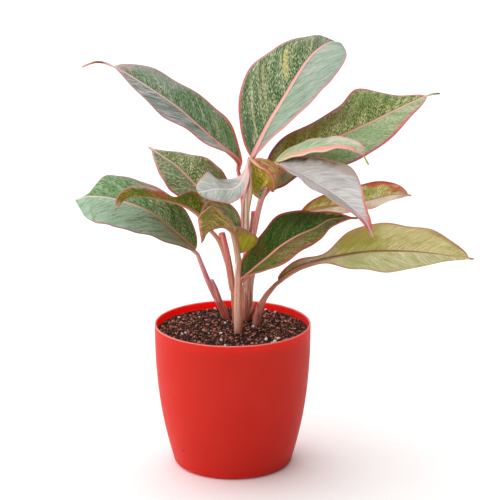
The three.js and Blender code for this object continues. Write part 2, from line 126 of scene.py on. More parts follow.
# The leaves. The stalk runs from the soil to the blade's base, with its radius at both ends, and the
# midrib from the base to the tip. Values in a list are spread evenly from base to tip: face is the way
# the upper side looks, and each half has its width, its fold up from the flat and its further curl
# toward the edge, in degrees. Left and right are as seen along the midrib from the base, with the upper
# side up. Ends are the powers that round the outline at the base and at the tip, tail is the share of
# the length that is a drawn-out tip, and skin the colours of the stalk from the soil to the blade.
LEAVES = {
    "blade_01": {
        "shoot": "shoot_middle",
        "stalk": [(11, 14, 124), (11, 12, 163), (9, 8, 215), (7, 8, 236), (6, 8, 249)],
        "radii": (3, 1.6),
        "skin": [(160, 88, 66), (222, 142, 128), (246, 150, 144), (244, 110, 104)],
        "midrib": [
            (6, 8, 249), (4, 8, 258), (-18, 10, 276), (-45, 12, 300), (-76, 14, 321), (-97, 16, 333),
            (-110, 18, 336), (-122, 18, 332),
        ],
        "face": [(0.5, -0.6, 0.6), (0.35, -0.6, 0.7), (0.1, -0.4, 0.9)],
        "left": {"width": (14, 27, 22, 26, 20, 12, 12), "fold": (50, 22, 10), "curl": (0, -10, 0)},
        "right": {"width": (0, 25, 26.5, 24.8, 30, 32, 28), "fold": (15, 12, 5), "curl": (-15, -20, -10)},
        "ends": (0.45, 0.6),
        "tail": 0.17,
    },
    "blade_02": {
        "shoot": "shoot_middle",
        "stalk": [(12, 17, 124), (12, 12, 163), (9, 2, 217), (14, 1, 246), (16, 3, 260)],
        "radii": (3, 1.7),
        "skin": [(160, 88, 66), (234, 160, 146), (252, 178, 166), (248, 168, 168)],
        "midrib": [
            (16, 3, 260), (29, 8, 286), (40, 12, 304), (53, 18, 325), (63, 22, 339), (73, 28, 347),
            (82, 36, 350), (87, 43, 348),
        ],
        "face": [(-0.4, -0.9, 0.3), (-0.3, -0.85, 0.5), (-0.2, -0.5, 0.8)],
        "left": {"width": (46, 47, 48.5, 43, 31.5, 20.5, 19), "fold": (10, 8, 12), "curl": (-15, -15, -20)},
        "right": {"width": (20, 23.5, 30, 33, 35.5, 31.5, 2), "fold": (30, 30, 15), "curl": (-10, -15, -20)},
        "ends": (0.7, 0.3),
        "tail": 0.02,
    },
    "blade_03": {
        "shoot": "shoot_middle",
        "stalk": [(13, 19, 124), (13, 16, 162), (19, 8, 202), (25, 4, 227), (31, 5, 235)],
        "radii": (3, 1.9),
        "skin": [(150, 78, 60), (222, 146, 128), (240, 150, 138), (206, 116, 100)],
        "midrib": [
            (31, 5, 235), (47, 8, 253), (68, 14, 266), (93, 22, 276), (117, 32, 285), (140, 44, 294),
            (163, 56, 302), (174, 62, 303),
        ],
        "face": [(0.1, -0.8, 0.6), (-0.1, -0.65, 0.75), (-0.2, -0.5, 0.8)],
        "left": {"width": (26, 26, 21.5, 26.5, 40, 19, 20), "fold": (15, 15, 10), "curl": (-10, -10, 0)},
        "right": {"width": (20, 17, 27, 29, 26, 21.5, 22), "fold": (15, 12, 10), "curl": (-15, -20, 0)},
        "ends": (0.5, 0.6),
        "tail": 0.08,
    },
    "blade_04": {
        "shoot": "shoot_middle",
        "stalk": [(14, 18, 124), (14, 14, 162), (18.5, 7, 203), (25, 2, 234), (35, -6, 259)],
        "radii": (3, 1.3),
        "skin": [(160, 88, 66), (232, 154, 140), (244, 168, 158), (214, 180, 130)],
        "midrib": [
            (35, -6, 259), (51, -10, 268), (70, -16, 274), (91, -24, 277), (102, -32, 272), (108, -38, 263),
        ],
        "face": [(-0.3, -0.25, 1), (0, -0.2, 1), (0.5, -0.2, 0.7)],
        "left": {"width": (14, 14), "fold": (12, 10, 0), "curl": (-10, -10, 0)},
        "right": {"width": (14, 14), "fold": (12, 8, 0), "curl": (-20, -20, 0)},
        "ends": (0.6, 0.5),
        "tail": 0.1,
    },
    "blade_05": {
        "shoot": "shoot_middle",
        "stalk": [(13, 18, 124), (14, 13, 162), (18, 3, 204), (25, -2, 231), (38, -12, 258)],
        "radii": (3, 1.6),
        "skin": [(150, 78, 60), (226, 150, 136), (240, 160, 150), (224, 180, 160)],
        "midrib": [
            (38, -12, 258), (56, -26, 252), (68, -36, 247), (83, -48, 240), (94, -58, 233),
            (104, -66, 224), (110, -70, 212),
        ],
        "face": [(0.2, -0.4, 0.9), (0.3, -0.5, 0.8), (0.5, -0.6, 0.5)],
        "left": {"width": (24, 26, 27.5, 13, 4), "fold": (35, 28, 20), "curl": (0, -10, -10)},
        "right": {"width": (22, 22, 23, 23, 16, 9, 5), "fold": (35, 30, 20), "curl": (-10, -10, -10)},
        "ends": (0.6, 0.5),
        "tail": 0.03,
    },
    "blade_06": {
        "shoot": "shoot_middle",
        "stalk": [(13, 16, 124), (12.5, 10, 163), (12, 1, 213), (16, 0, 239), (17, -4, 259)],
        "radii": (3, 1.4),
        "skin": [(160, 88, 66), (226, 160, 140), (240, 214, 184), (226, 170, 140)],
        "midrib": [
            (17, -4, 259), (22, -12, 256), (29, -19, 253), (33, -25, 248), (34, -29, 243), (32, -30, 239),
        ],
        "face": [(0.1, 0.95, 0.1), (0.1, 0.95, 0.1), (0.3, 0.9, 0.1)],
        "left": {"width": (16, 27, 27, 19, 10, 4), "fold": (10, 10, 10), "curl": (0, 0, 0)},
        "right": {"width": (7, 8, 8.5, 7, 2), "fold": (15, 15, 15), "curl": (10, 10, 10)},
        "ends": (0.35, 0.4),
        "tail": 0.03,
    },
    "blade_07": {
        "shoot": "shoot_middle",
        "stalk": [(12, 16, 124), (12, 9, 164), (12, 0, 213), (12, 1, 238), (13, 0, 256), (12, -5, 257)],
        "radii": (3, 1.5),
        "skin": [(160, 88, 66), (226, 176, 150), (244, 226, 200), (242, 206, 196)],
        "midrib": [
            (12, -5, 257), (10, -11, 248), (5, -17, 241), (-2, -26, 240), (-12, -38, 243), (-26, -50, 243),
        ],
        "face": [(-0.6, -0.4, 0.7), (-0.2, -0.7, 0.7), (-0.1, -0.7, 0.7)],
        "left": {"width": (4, 8.5, 14.5, 10), "fold": (0, 0, 0), "curl": (-10, -20, -20)},
        "right": {"width": (4, 6, 22, 23, 20.5, 16.5, 14), "fold": (10, 10, 10), "curl": (-10, -20, -20)},
        "ends": (0.5, 0.4),
        "tail": 0,
    },
    "blade_08": {
        "shoot": "shoot_back",
        "stalk": [(4, 13, 124), (5, 12, 158), (0, 9, 194), (-7, 8, 211), (-14, 10, 218)],
        "radii": (2.6, 1.4),
        "skin": [(206, 124, 96), (226, 132, 106), (232, 150, 136), (200, 140, 130)],
        "midrib": [
            (-14, 10, 218), (-21, 18, 224), (-30, 26, 231), (-40, 36, 239), (-49, 46, 245), (-59, 58, 249),
            (-72, 72, 255),
        ],
        "face": [(0.3, -0.5, 0.8), (0.3, -0.6, 0.7), (0.2, -0.5, 0.8)],
        "left": {"width": (19, 24.5, 24.5, 23.5, 24), "fold": (15, 12, 10), "curl": (-15, -15, -10)},
        "right": {"width": (30, 29, 32, 30, 27), "fold": (15, 12, 10), "curl": (-15, -15, -10)},
        "ends": (0.45, 1),
        "tail": 0.03,
    },
    "blade_09": {
        "shoot": "shoot_left",
        "stalk": [(-7, 21, 123), (-13.5, 19, 136), (-20.5, 15, 152), (-31, 8, 181)],
        "radii": (3.4, 1.7),
        "skin": [(196, 84, 66), (222, 108, 104), (232, 140, 144), (222, 150, 152)],
        "midrib": [
            (-31, 8, 181), (-46, 8, 195), (-67, 6, 213), (-90, 4, 223), (-105, 2, 227), (-118, 0, 228),
            (-128, -3, 226),
        ],
        "face": [(0.4, -0.3, 0.9), (0.1, -0.4, 0.9), (-0.2, -0.3, 0.9)],
        "left": {
            "width": (36, 35.5, 35, 34, 33, 33, 33, 33, 33, 33.5, 37, 42, 60),
            "fold": (25, 5, -5),
            "curl": (-10, -10, -10),
        },
        "right": {
            "width": (32, 34, 34.5, 31, 28.5, 27.5, 27.5, 26.5, 26.5, 5, 0),
            "fold": (22, 22, 20),
            "curl": (-10, -15, -20),
        },
        "ends": (0.5, 0.3),
        "tail": 0,
    },
    "blade_10": {
        "shoot": "shoot_front",
        "stalk": [(4, -18, 122), (3.8, -18.5, 146), (4.4, -20, 167), (6, -22, 186)],
        "radii": (3, 2.2),
        "skin": [(212, 136, 104), (244, 182, 156), (234, 166, 142), (206, 168, 130)],
        "midrib": [
            (6, -22, 186), (4, -23, 196), (1, -24, 204.5), (-6, -26, 210), (-14, -31, 210), (-20, -38, 208),
            (-24, -46, 201),
        ],
        "face": [(0.7, 0.7, 0.1), (0.3, 0.1, 0.9), (0.1, 0.1, 1)],
        "left": {
            "width": (34, 29, 16, 6.5, 10, 18, 24, 42, 47),
            "fold": (60, 60, 55, 70, 82),
            "curl": (0, 0, 0),
        },
        "right": {"width": (6, 10, 15, 22, 21, 7, 0), "fold": (60, 65, 60), "curl": (0, 0, 0)},
        "ends": (0.4, 0.15),
        "tail": 0,
    },
    "blade_11": {
        "shoot": "shoot_front",
        "stalk": [(6, -17, 120), (7, -16.5, 137), (7.4, -16.5, 152), (8, -16, 163)],
        "radii": (2.6, 1.9),
        "skin": [(196, 112, 76), (210, 124, 90), (214, 122, 96)],
        "midrib": [
            (8, -16, 163), (28, -18, 181), (40, -20, 192), (54, -21, 201), (67, -22, 207), (80, -24, 215),
            (101, -28, 217),
        ],
        "face": [(-0.3, -0.6, 0.7), (-0.2, -0.6, 0.75), (-0.1, -0.5, 0.8)],
        "left": {"width": (30, 22, 23, 27.5, 22, 13, 9), "fold": (18, 15, 10), "curl": (-15, -20, -10)},
        "right": {"width": (18, 24, 26, 21.5, 19, 16, 6), "fold": (50, 22, 10), "curl": (0, -15, -10)},
        "ends": (0.55, 0.75),
        "tail": 0.03,
    },
    "blade_12": {
        "shoot": "shoot_middle",
        "stalk": [(14, 19, 124), (16.5, 20, 156), (27, 18, 183), (42, 18, 197), (56, 22, 208)],
        "radii": (2.6, 1.4),
        "skin": [(140, 70, 54), (226, 140, 122), (244, 166, 154), (222, 150, 130)],
        "midrib": [
            (56, 22, 208), (71, 28, 212), (94, 38, 213), (115, 46, 215), (137, 54, 218), (152, 60, 215),
        ],
        "face": [(0.1, 0.85, 0.5), (0.1, 0.85, 0.5), (0.1, 0.8, 0.5)],
        "left": {"width": (14, 18, 19, 24, 36), "fold": (20, 20, 20), "curl": (0, 0, 0)},
        "right": {"width": (11, 12.5, 13, 16, 12), "fold": (40, 50, 30), "curl": (0, 0, 0)},
        "ends": (0.6, 0.6),
        "tail": 0.03,
    },
    "blade_13": {
        "shoot": "shoot_right",
        "stalk": [(20, 5, 123), (22.5, 3, 132), (27, -1, 143), (38, -4, 158)],
        "radii": (3.7, 1.8),
        "skin": [(190, 112, 90), (222, 130, 118), (206, 128, 108), (176, 96, 76)],
        "midrib": [
            (38, -4, 158), (49, -2, 166), (60, 0, 171), (84, 6, 176), (114, 12, 179), (148, 20, 177),
            (179, 26, 172), (203, 30, 167),
        ],
        "face": [(0, 0.8, 0.5), (0, 0.85, 0.45), (0, 0.8, 0.5)],
        "left": {"width": (9, 6.5, 8, 20.5, 28, 34, 31, 17, 12), "fold": (15, 15, 10), "curl": (-10, -10, 0)},
        "right": {"width": (9, 8.5, 6, 22, 28, 27, 30, 25, 20), "fold": (15, 15, 10), "curl": (-10, -10, 0)},
        "ends": (0.35, 0.5),
        "tail": 0.03,
    },
    "blade_14": {
        "shoot": "shoot_back",
        "stalk": [(3, 12, 124), (1, 12, 145), (-5, 12, 170), (-12, 12, 189), (-22, 12, 203)],
        "radii": (2.9, 1.7),
        "skin": [(206, 136, 116), (226, 150, 128), (206, 156, 126), (220, 150, 110)],
        "midrib": [
            (-22, 12, 203), (-28, 8, 212), (-41, 0, 222), (-60, -12, 230), (-76, -22, 234), (-86, -28, 233),
            (-93, -32, 224),
        ],
        "face": [(-0.1, 0, 1), (0, 0, 1), (-0.2, 0, 0.9)],
        "left": {"width": (5, 12, 18, 18.5, 21, 23.5, 22), "fold": (66, 60, 18, 36, 60), "curl": (0, 0, 0)},
        "right": {"width": (20, 20), "fold": (15, 5, 5), "curl": (-10, -10, -10)},
        "ends": (0.4, 0.5),
        "tail": 0.03,
    },
}

# How each leaf is coloured, as red, green and blue from 0 to 255. Tones are the dark, the middle and the
# pale of the upper side, and under those of the lower side. Grain is how much of their pattern is fine
# specks, and the rest streaks along the side veins. Edge and rib are colours from base to tip, with
# their widths there in millimetres, and tail the colours of a drawn-out tip. What stands under left or
# right holds for that half alone.
#
# A patch lies between two shares of the length and two shares of the half width, positive on the left
# half and negative on the right, and has a colour and a strength. A band follows a side vein: it has the
# share of the length where it leaves the midrib, its half width in millimetres, two shares of the half
# width, a colour and a strength.
LEAF_FINISH = {
    "tones": ((66, 94, 44), (112, 132, 86), (196, 192, 150)),
    "grain": 0.8,
    "under": ((122, 124, 58), (164, 164, 98), (206, 192, 144)),
    "edge": [(226, 84, 84), (206, 104, 116), (200, 120, 130)],
    "edge_width": (2.2, 1.2),
    "rib": [(232, 130, 116), (228, 148, 138), (222, 176, 164)],
    "rib_width": (1.5, 0.6),
    "tail": [(214, 150, 140), (190, 120, 110)],
    "patches": [],
    "bands": [],
    "under_edge": [(190, 96, 84), (160, 84, 76)],
    "under_rib": [(196, 116, 88), (190, 130, 100)],
    "under_rib_width": (1.8, 0.5),
    "under_patches": [],
    "under_bands": [],
}
LEAF_FINISHES = {
    "blade_01": {
        # The left half's grey tones are partly the leaf's waxy bloom and partly painted sheen of glare from
        # above.
        "left": {"tones": ((94, 108, 98), (148, 154, 146), (220, 208, 204)), "grain": 0.15},
        "right": {"tones": ((68, 96, 46), (116, 144, 106), (200, 194, 180)), "grain": 0.55},
        "edge": [
            (232, 100, 86), (214, 104, 98), (180, 124, 122), (176, 136, 138),
            (196, 136, 142), (236, 176, 172),
        ],
        "edge_width": (3.4, 0.9),
        "rib": [(236, 116, 104), (226, 166, 152), (224, 194, 182), (240, 214, 208)],
        "tail": [(236, 196, 190), (112, 58, 34), (150, 74, 60), (216, 140, 136)],
        "patches": [
            (0.5, 0.8, -1, -0.45, (168, 166, 160), 0.6), (0.02, 0.3, -0.9, -0.1, (96, 108, 36), 0.35),
            (0.76, 0.9, -1, 1, (226, 180, 180), 0.6),
        ],
        "bands": [
            (0.27, 0.6, -0.85, -0.2, (206, 200, 160), 0.8), (0.08, 0.8, 0.1, 0.9, (214, 208, 200), 0.7),
            (0.2, 1.0, 0.2, 0.9, (118, 140, 142), 0.5),
        ],
    },
    "blade_02": {
        "left": {
            "tones": ((46, 78, 32), (110, 132, 90), (208, 204, 166)),
            "grain": 0.7,
            "edge": [(224, 88, 88), (212, 104, 106), (190, 136, 140), (196, 136, 142), (160, 136, 130)],
            "edge_width": (2.6, 1.5),
        },
        # The right half's pale grey-green tones are partly the leaf's waxy bloom and partly painted sheen of
        # glare from above.
        "right": {
            "tones": ((124, 146, 122), (150, 166, 150), (188, 184, 170)),
            "grain": 0.25,
            "edge": [(236, 150, 150), (220, 146, 150), (196, 126, 136), (184, 140, 142)],
        },
        "rib": [(252, 172, 172), (248, 184, 170), (240, 174, 168), (206, 160, 158)],
        "rib_width": (2.1, 0.9),
        "patches": [
            (0.02, 0.2, 0.35, 0.85, (44, 76, 44), 0.7), (0.8, 1.1, 0, 1, (150, 142, 130), 0.4),
            (0.7, 0.86, 0.25, 0.7, (60, 84, 30), 0.5), (0.15, 0.5, -0.45, -0.1, (120, 176, 130), 0.35),
        ],
        "bands": [
            (0.5, 3.4, 0.15, 0.8, (212, 196, 128), 0.85), (0.26, 1.6, 0.15, 0.85, (206, 190, 140), 0.7),
            (0.2, 1.4, 0.3, 0.9, (190, 180, 156), 0.5), (0.11, 1.1, 0.1, 0.8, (210, 204, 158), 0.75),
            (0.74, 0.9, 0.1, 0.75, (206, 206, 160), 0.7), (0.3, 1.2, -0.6, -0.15, (206, 170, 150), 0.4),
            (0.52, 0.5, -0.9, -0.1, (120, 138, 120), 0.6),
        ],
    },
    "blade_03": {
        "left": {"tones": ((72, 82, 20), (142, 154, 84), (226, 222, 176)), "grain": 0.7},
        "right": {"tones": ((114, 130, 76), (150, 172, 124), (206, 198, 168)), "grain": 0.6},
        "edge": [
            (150, 64, 60), (160, 96, 98), (170, 108, 118), (206, 84, 106), (196, 112, 122), (214, 160, 160),
        ],
        "edge_width": (2.6, 1.5),
        "rib": [(196, 110, 84), (206, 150, 124), (216, 164, 142), (226, 184, 166)],
        "rib_width": (1.8, 0.7),
        "patches": [
            (-0.1, 0.36, 0.35, 1, (132, 100, 14), 0.6), (0.4, 0.56, 0.4, 0.95, (76, 84, 10), 0.5),
            (0.58, 0.78, 0.35, 0.85, (84, 124, 46), 0.45), (0.3, 0.5, 0.5, 0.9, (140, 100, 60), 0.4),
            (0.66, 0.92, -1, -0.75, (214, 104, 126), 0.5), (0.3, 0.6, -0.6, -0.1, (120, 160, 100), 0.4),
            (-0.1, 0.1, -1, 0.3, (120, 40, 20), 0.5),
        ],
        "tail": [(206, 196, 150), (150, 140, 84), (104, 80, 26)],
        "bands": [(0.35, 0.8, 0.2, 0.9, (196, 158, 120), 0.6), (0.62, 0.6, 0.1, 0.8, (214, 206, 170), 0.6)],
    },
    "blade_04": {
        "tones": ((142, 168, 112), (172, 194, 158), (226, 214, 196)),
        "grain": 0.15,
        "edge": [(216, 206, 140), (224, 196, 172), (232, 170, 168), (236, 140, 148)],
        "edge_width": (2.4, 2.4),
        "rib": [(196, 200, 130), (196, 196, 160), (224, 190, 176)],
        "rib_width": (0.7, 0.7),
        "patches": [
            (0.1, 0.9, -1, -0.4, (242, 150, 148), 0.95),
            (-0.1, 0.2, 0.3, 1, (150, 150, 60), 0.6), (0.5, 0.8, 0.3, 1, (236, 212, 200), 0.6),
        ],
        "tail": [(236, 130, 140), (190, 196, 84), (166, 176, 60)],
    },
    "blade_05": {
        # Its pale silver-grey tones are partly the leaf's waxy bloom and partly painted sheen of glare from
        # above.
        "left": {"tones": ((184, 176, 170), (206, 202, 199), (224, 222, 220))},
        "right": {"tones": ((160, 148, 150), (188, 172, 172), (208, 204, 208))},
        "grain": 0.1,
        "edge": [
            (206, 150, 140), (214, 160, 156), (196, 170, 150), (216, 160, 154),
            (230, 120, 120), (220, 76, 78),
        ],
        "edge_width": (1.0, 2.4),
        "rib": [(232, 214, 208), (226, 210, 208), (216, 190, 190)],
        "rib_width": (1.2, 0.8),
        "patches": [
            # The dark olive and brown patches at the far edge near the base are painted shadow of blade_04
            # above.
            (-0.2, 0.17, 0.62, 1.2, (84, 70, 8), 1.0), (0.1, 0.38, 0.84, 1.2, (130, 64, 26), 1.0),
            (0.55, 0.75, -0.9, -0.1, (150, 172, 154), 0.7), (0.85, 1.1, -1, 1, (228, 90, 84), 0.85),
            (0.3, 0.55, 0.75, 1, (190, 150, 130), 0.6), (0.15, 0.5, -0.9, -0.2, (190, 200, 202), 0.5),
        ],
        "bands": [
            (0.3, 0.7, 0.1, 0.9, (232, 226, 222), 0.8), (0.12, 0.8, 0.2, 0.7, (226, 206, 204), 0.7),
            (0.45, 0.8, 0.1, 0.8, (156, 166, 160), 0.5), (0.5, 1.4, -0.9, -0.1, (140, 146, 150), 0.6),
        ],
    },
    "blade_06": {
        "left": {"under": ((92, 94, 4), (164, 140, 34), (222, 172, 100))},
        "right": {"under": ((116, 84, 34), (148, 112, 58), (190, 144, 112))},
        "under_edge": [(214, 140, 120), (150, 110, 40), (120, 70, 30)],
        "under_rib": [(240, 160, 140), (206, 110, 84), (196, 100, 84), (150, 80, 50)],
        "under_rib_width": (1.5, 0.7),
        "under_patches": [
            (0.6, 0.95, -0.8, -0.2, (96, 104, 74), 0.8), (0.62, 0.95, -1, -0.7, (112, 34, 24), 0.9),
            (0.1, 0.55, 0.35, 0.9, (96, 116, 6), 0.6), (0.7, 1.1, 0.1, 1, (128, 84, 14), 0.8),
            (0.45, 0.7, -0.9, -0.1, (206, 120, 90), 0.3),
        ],
        "edge": [(196, 150, 120), (150, 100, 70)],
    },
    "blade_07": {
        # Its pale silver-grey tones are partly the leaf's waxy bloom and partly painted sheen of glare from
        # above.
        "tones": ((158, 170, 158), (186, 188, 184), (220, 218, 214)),
        "grain": 0.1,
        "edge": [(240, 190, 186), (232, 190, 186), (222, 168, 166), (214, 160, 162), (206, 170, 172)],
        "edge_width": (1.6, 1.4),
        "rib": [(240, 200, 192), (222, 214, 208), (216, 214, 206)],
        "rib_width": (1.4, 0.8),
        "patches": [
            (-0.1, 0.25, -1, 1, (240, 206, 200), 0.8), (0.45, 0.75, 0.3, 0.8, (170, 186, 164), 0.5),
            (0.7, 1, -0.9, -0.5, (182, 186, 158), 0.5), (0.3, 0.5, 0, 0.5, (184, 196, 200), 0.5),
        ],
        "bands": [(0.45, 0.9, -0.8, 0.8, (232, 226, 226), 0.8), (0.7, 0.8, -0.9, 0.9, (230, 224, 226), 0.7)],
    },
    "blade_08": {
        "left": {"tones": ((50, 74, 22), (98, 118, 62), (186, 176, 140))},
        "right": {"tones": ((42, 66, 10), (100, 116, 52), (206, 198, 150))},
        "edge": [(150, 54, 50), (170, 74, 70), (196, 130, 124), (204, 160, 154)],
        "edge_width": (2.2, 1.6),
        "rib": [(206, 150, 140), (196, 142, 132), (186, 146, 134), (222, 190, 184)],
        "rib_width": (1.7, 0.7),
        "patches": [
            (0.88, 1.1, -1, 1, (178, 168, 150), 0.6), (0.05, 0.5, -1, -0.6, (100, 84, 14), 0.7),
            (0.42, 0.56, 0.2, 0.7, (60, 110, 70), 0.4), (0.6, 0.8, -1, -0.7, (186, 174, 156), 0.35),
        ],
        "bands": [
            (0.4, 0.7, -0.6, -0.15, (216, 214, 190), 0.85), (0.35, 1.0, 0.2, 0.8, (200, 200, 160), 0.6),
            (0.16, 0.8, 0.2, 0.9, (196, 186, 140), 0.5),
        ],
    },
    "blade_09": {
        # The left half's pale tones are partly the leaf's waxy bloom and partly painted sheen of glare from
        # above.
        "left": {"tones": ((112, 132, 98), (160, 184, 158), (196, 210, 192)), "grain": 0.25},
        "right": {"tones": ((60, 94, 26), (130, 162, 110), (216, 220, 176)), "grain": 0.75},
        "edge": [(206, 110, 104), (186, 120, 116), (176, 136, 134), (176, 130, 134), (180, 128, 126)],
        "edge_width": (2.4, 1.0),
        "rib": [(216, 134, 112), (206, 160, 134), (214, 186, 164), (226, 220, 200)],
        "rib_width": (2.0, 0.8),
        "patches": [
            (-0.05, 0.3, -0.85, -0.08, (92, 106, 14), 0.35), (0.5, 0.95, -1, 0, (84, 140, 100), 0.4),
            (0.55, 1.1, 0.1, 1, (150, 180, 152), 0.5), (0.0, 0.3, 0.1, 0.6, (190, 136, 110), 0.35),
        ],
        "bands": [
            (0.33, 2.0, -0.9, -0.3, (176, 170, 150), 0.5), (0.1, 0.8, 0.1, 0.9, (190, 176, 150), 0.6),
            (0.24, 0.7, 0.2, 0.9, (196, 200, 184), 0.6), (0.0, 0.8, 0.3, 0.9, (196, 170, 140), 0.6),
            (0.45, 1.0, 0.2, 0.9, (112, 140, 110), 0.5),
        ],
    },
    "blade_10": {
        "tones": ((96, 122, 62), (156, 164, 106), (226, 214, 172)),
        "grain": 0.4,
        "edge": [(206, 90, 80), (214, 120, 110), (226, 140, 132), (230, 150, 140)],
        "edge_width": (1.6, 1.6),
        "rib": [(200, 150, 110), (196, 120, 90)],
        "under": ((108, 100, 22), (158, 144, 56), (222, 176, 130)),
        "under_edge": [(150, 90, 60), (150, 110, 90), (170, 130, 110), (236, 124, 124)],
        "under_patches": [
            (0.0, 0.27, 0.05, 0.95, (164, 154, 14), 0.85), (0.24, 0.36, 0.1, 1, (128, 76, 48), 0.7),
            (0.5, 0.68, 0.1, 0.5, (96, 108, 54), 0.7), (0.7, 0.9, 0.5, 0.9, (110, 120, 30), 0.6),
            (0.975, 1.2, -0.2, 1.5, (246, 140, 134), 1.0), (0.9, 0.96, 0.4, 1.5, (104, 110, 40), 0.8),
            (0.36, 0.5, 0.4, 1, (150, 140, 110), 0.5),
        ],
        "under_bands": [
            (0.42, 0.7, 0.1, 1, (222, 180, 140), 0.9), (0.56, 0.6, 0.1, 1, (226, 190, 146), 0.9),
            (0.3, 0.6, 0.1, 1, (214, 160, 130), 0.8),
        ],
        "patches": [(0.6, 0.8, -0.9, -0.4, (122, 124, 20), 0.6), (0.5, 0.62, -1, -0.6, (220, 150, 120), 0.6)],
        "bands": [(0.3, 0.8, -0.9, -0.3, (206, 216, 180), 0.7), (0.2, 0.7, -0.9, -0.3, (196, 206, 170), 0.7)],
    },
    "blade_11": {
        "left": {
            "tones": ((26, 52, 2), (54, 82, 12), (104, 110, 46)),
            "edge": [(214, 84, 74), (150, 44, 36), (176, 56, 50), (150, 60, 50), (190, 90, 80)],
            "edge_width": (2.6, 1.8),
        },
        "right": {
            "tones": ((60, 76, 14), (100, 106, 46), (176, 136, 104)),
            "edge": [(220, 130, 118), (176, 96, 80), (150, 80, 62), (150, 76, 62), (200, 130, 116)],
            "edge_width": (2.6, 1.6),
        },
        "grain": 0.6,
        "rib": [(232, 150, 132), (234, 158, 140), (176, 130, 100), (110, 90, 50)],
        "rib_width": (1.5, 0.6),
        "patches": [
            (0.0, 0.14, 0.15, 0.9, (92, 92, 10), 0.6), (0.18, 0.28, 0.2, 0.9, (96, 46, 16), 0.45),
            (0.5, 0.8, 0.4, 1, (46, 40, 4), 0.5), (0.1, 0.35, -0.6, -0.1, (104, 124, 34), 0.6),
            (0.3, 0.6, -0.45, -0.1, (130, 92, 62), 0.5), (0.75, 1, -0.9, 0.3, (70, 64, 14), 0.6),
            (0.35, 0.7, -1, -0.75, (176, 84, 70), 0.4), (0.78, 1, 0.6, 1, (196, 124, 84), 0.7),
        ],
        "bands": [
            (0.0, 0.5, 0.1, 0.8, (150, 132, 80), 0.5), (0.36, 0.5, 0.1, 0.9, (110, 100, 56), 0.6),
            (0.52, 0.4, 0.1, 0.8, (116, 92, 60), 0.5), (0.4, 0.7, -0.9, -0.1, (150, 130, 92), 0.5),
        ],
    },
    "blade_12": {
        "left": {"under": ((230, 180, 130), (255, 240, 212), (255, 255, 250))},
        "right": {"under": ((196, 150, 40), (252, 240, 150), (255, 255, 236))},
        "grain": 0.6,
        "under_edge": [(206, 96, 40), (214, 100, 90), (206, 30, 44), (226, 60, 76), (236, 130, 124)],
        "under_rib": [(216, 190, 110), (232, 200, 170), (236, 200, 180)],
        "under_rib_width": (1.0, 0.6),
        "under_patches": [
            (-0.1, 0.3, -1, -0.35, (146, 136, 6), 0.7), (0.62, 0.84, -1, -0.72, (226, 24, 44), 0.9),
            (0.8, 0.94, -0.75, -0.3, (220, 40, 56), 0.75), (0.55, 0.7, -0.7, -0.3, (170, 190, 100), 0.7),
            (0.0, 0.3, -0.1, 0.6, (206, 150, 96), 0.5), (0.7, 0.95, 0.3, 0.8, (250, 220, 200), 0.6),
            (0.9, 1.1, -1, 1, (206, 130, 120), 0.7),
        ],
    },
    "blade_13": {
        "left": {"under": ((166, 162, 98), (190, 192, 138), (218, 210, 166))},
        "right": {"under": ((164, 150, 72), (192, 184, 116), (224, 212, 158))},
        "grain": 0.25,
        "under_edge": [(150, 66, 44), (176, 110, 90), (190, 130, 104), (196, 150, 110), (150, 56, 46)],
        "under_rib": [(176, 96, 70), (166, 130, 80), (156, 110, 66), (196, 160, 104), (220, 200, 150)],
        "under_rib_width": (0.9, 0.4),
        "under_patches": [
            (-0.1, 0.14, -0.2, 1, (168, 84, 66), 0.85), (-0.1, 0.17, -1, -0.1, (112, 66, 22), 0.85),
            (0.1, 0.3, -0.8, 1, (176, 152, 136), 0.6), (0.3, 0.5, -1, -0.25, (148, 120, 12), 0.75),
            (0.36, 0.56, -0.5, 0.1, (150, 150, 40), 0.5), (0.34, 0.46, 0.1, 0.8, (150, 152, 74), 0.5),
            (0.5, 0.8, -0.9, -0.5, (216, 200, 148), 0.5), (0.74, 0.98, -1, -0.84, (156, 72, 56), 0.8),
            (0.55, 0.9, -0.3, 0.05, (226, 208, 160), 0.5),
        ],
    },
    "blade_14": {
        "under": ((58, 82, 0), (120, 134, 18), (216, 196, 150)),
        "under_edge": [(190, 120, 60), (150, 110, 40), (196, 60, 60), (206, 120, 110), (230, 180, 160)],
        "under_rib": [(226, 160, 110), (220, 150, 100), (206, 140, 96), (196, 130, 90)],
        "under_patches": [
            (0.12, 0.5, 0.2, 1, (78, 104, 6), 0.55), (0.46, 0.74, 0.2, 0.65, (150, 86, 44), 0.75),
            (0.56, 0.74, 0.55, 1, (186, 54, 62), 0.8), (0.66, 0.84, 0.75, 1.1, (186, 190, 186), 0.85),
            (0.68, 0.84, 0.15, 0.7, (78, 106, 6), 0.7), (0.84, 0.94, -1, 1, (156, 116, 30), 0.5),
            (0.95, 1.1, -1, 1, (244, 200, 186), 0.95),
        ],
    },
}

# White grains of the potting mix that lie on top, each as its place and radius in millimetres.
GRAINS = [
    (-46, 27, 1.2), (-28.5, 27, 0.8), (-16, 50, 1.1), (-6.5, 7, 1.1), (-41.5, -20.5, 0.9),
    (-38.5, -17.5, 1.2), (-19.5, -20.5, 0.7), (-9.5, -23.5, 1.3), (-9, -39.5, 1.4), (-5.5, -50, 1.1),
    (17, -4.5, 1.4), (28, 52, 1.2), (36, 44.5, 1.1), (27.5, -36.5, 1.3), (37.5, -31.5, 1.2),
    (34.5, -39.5, 1.9), (13, -50, 0.7), (32, -42, 1.0),
]

# --- smooth lines -----------------------------------------------------------------------------------

FINE = 400  # steps in which a curve's length is measured
EASED = 0.5  # power of a span's length that spaces the knots, for points that are unevenly spaced


def unit(vectors):
    return vectors / np.linalg.norm(vectors, axis=-1, keepdims=True)


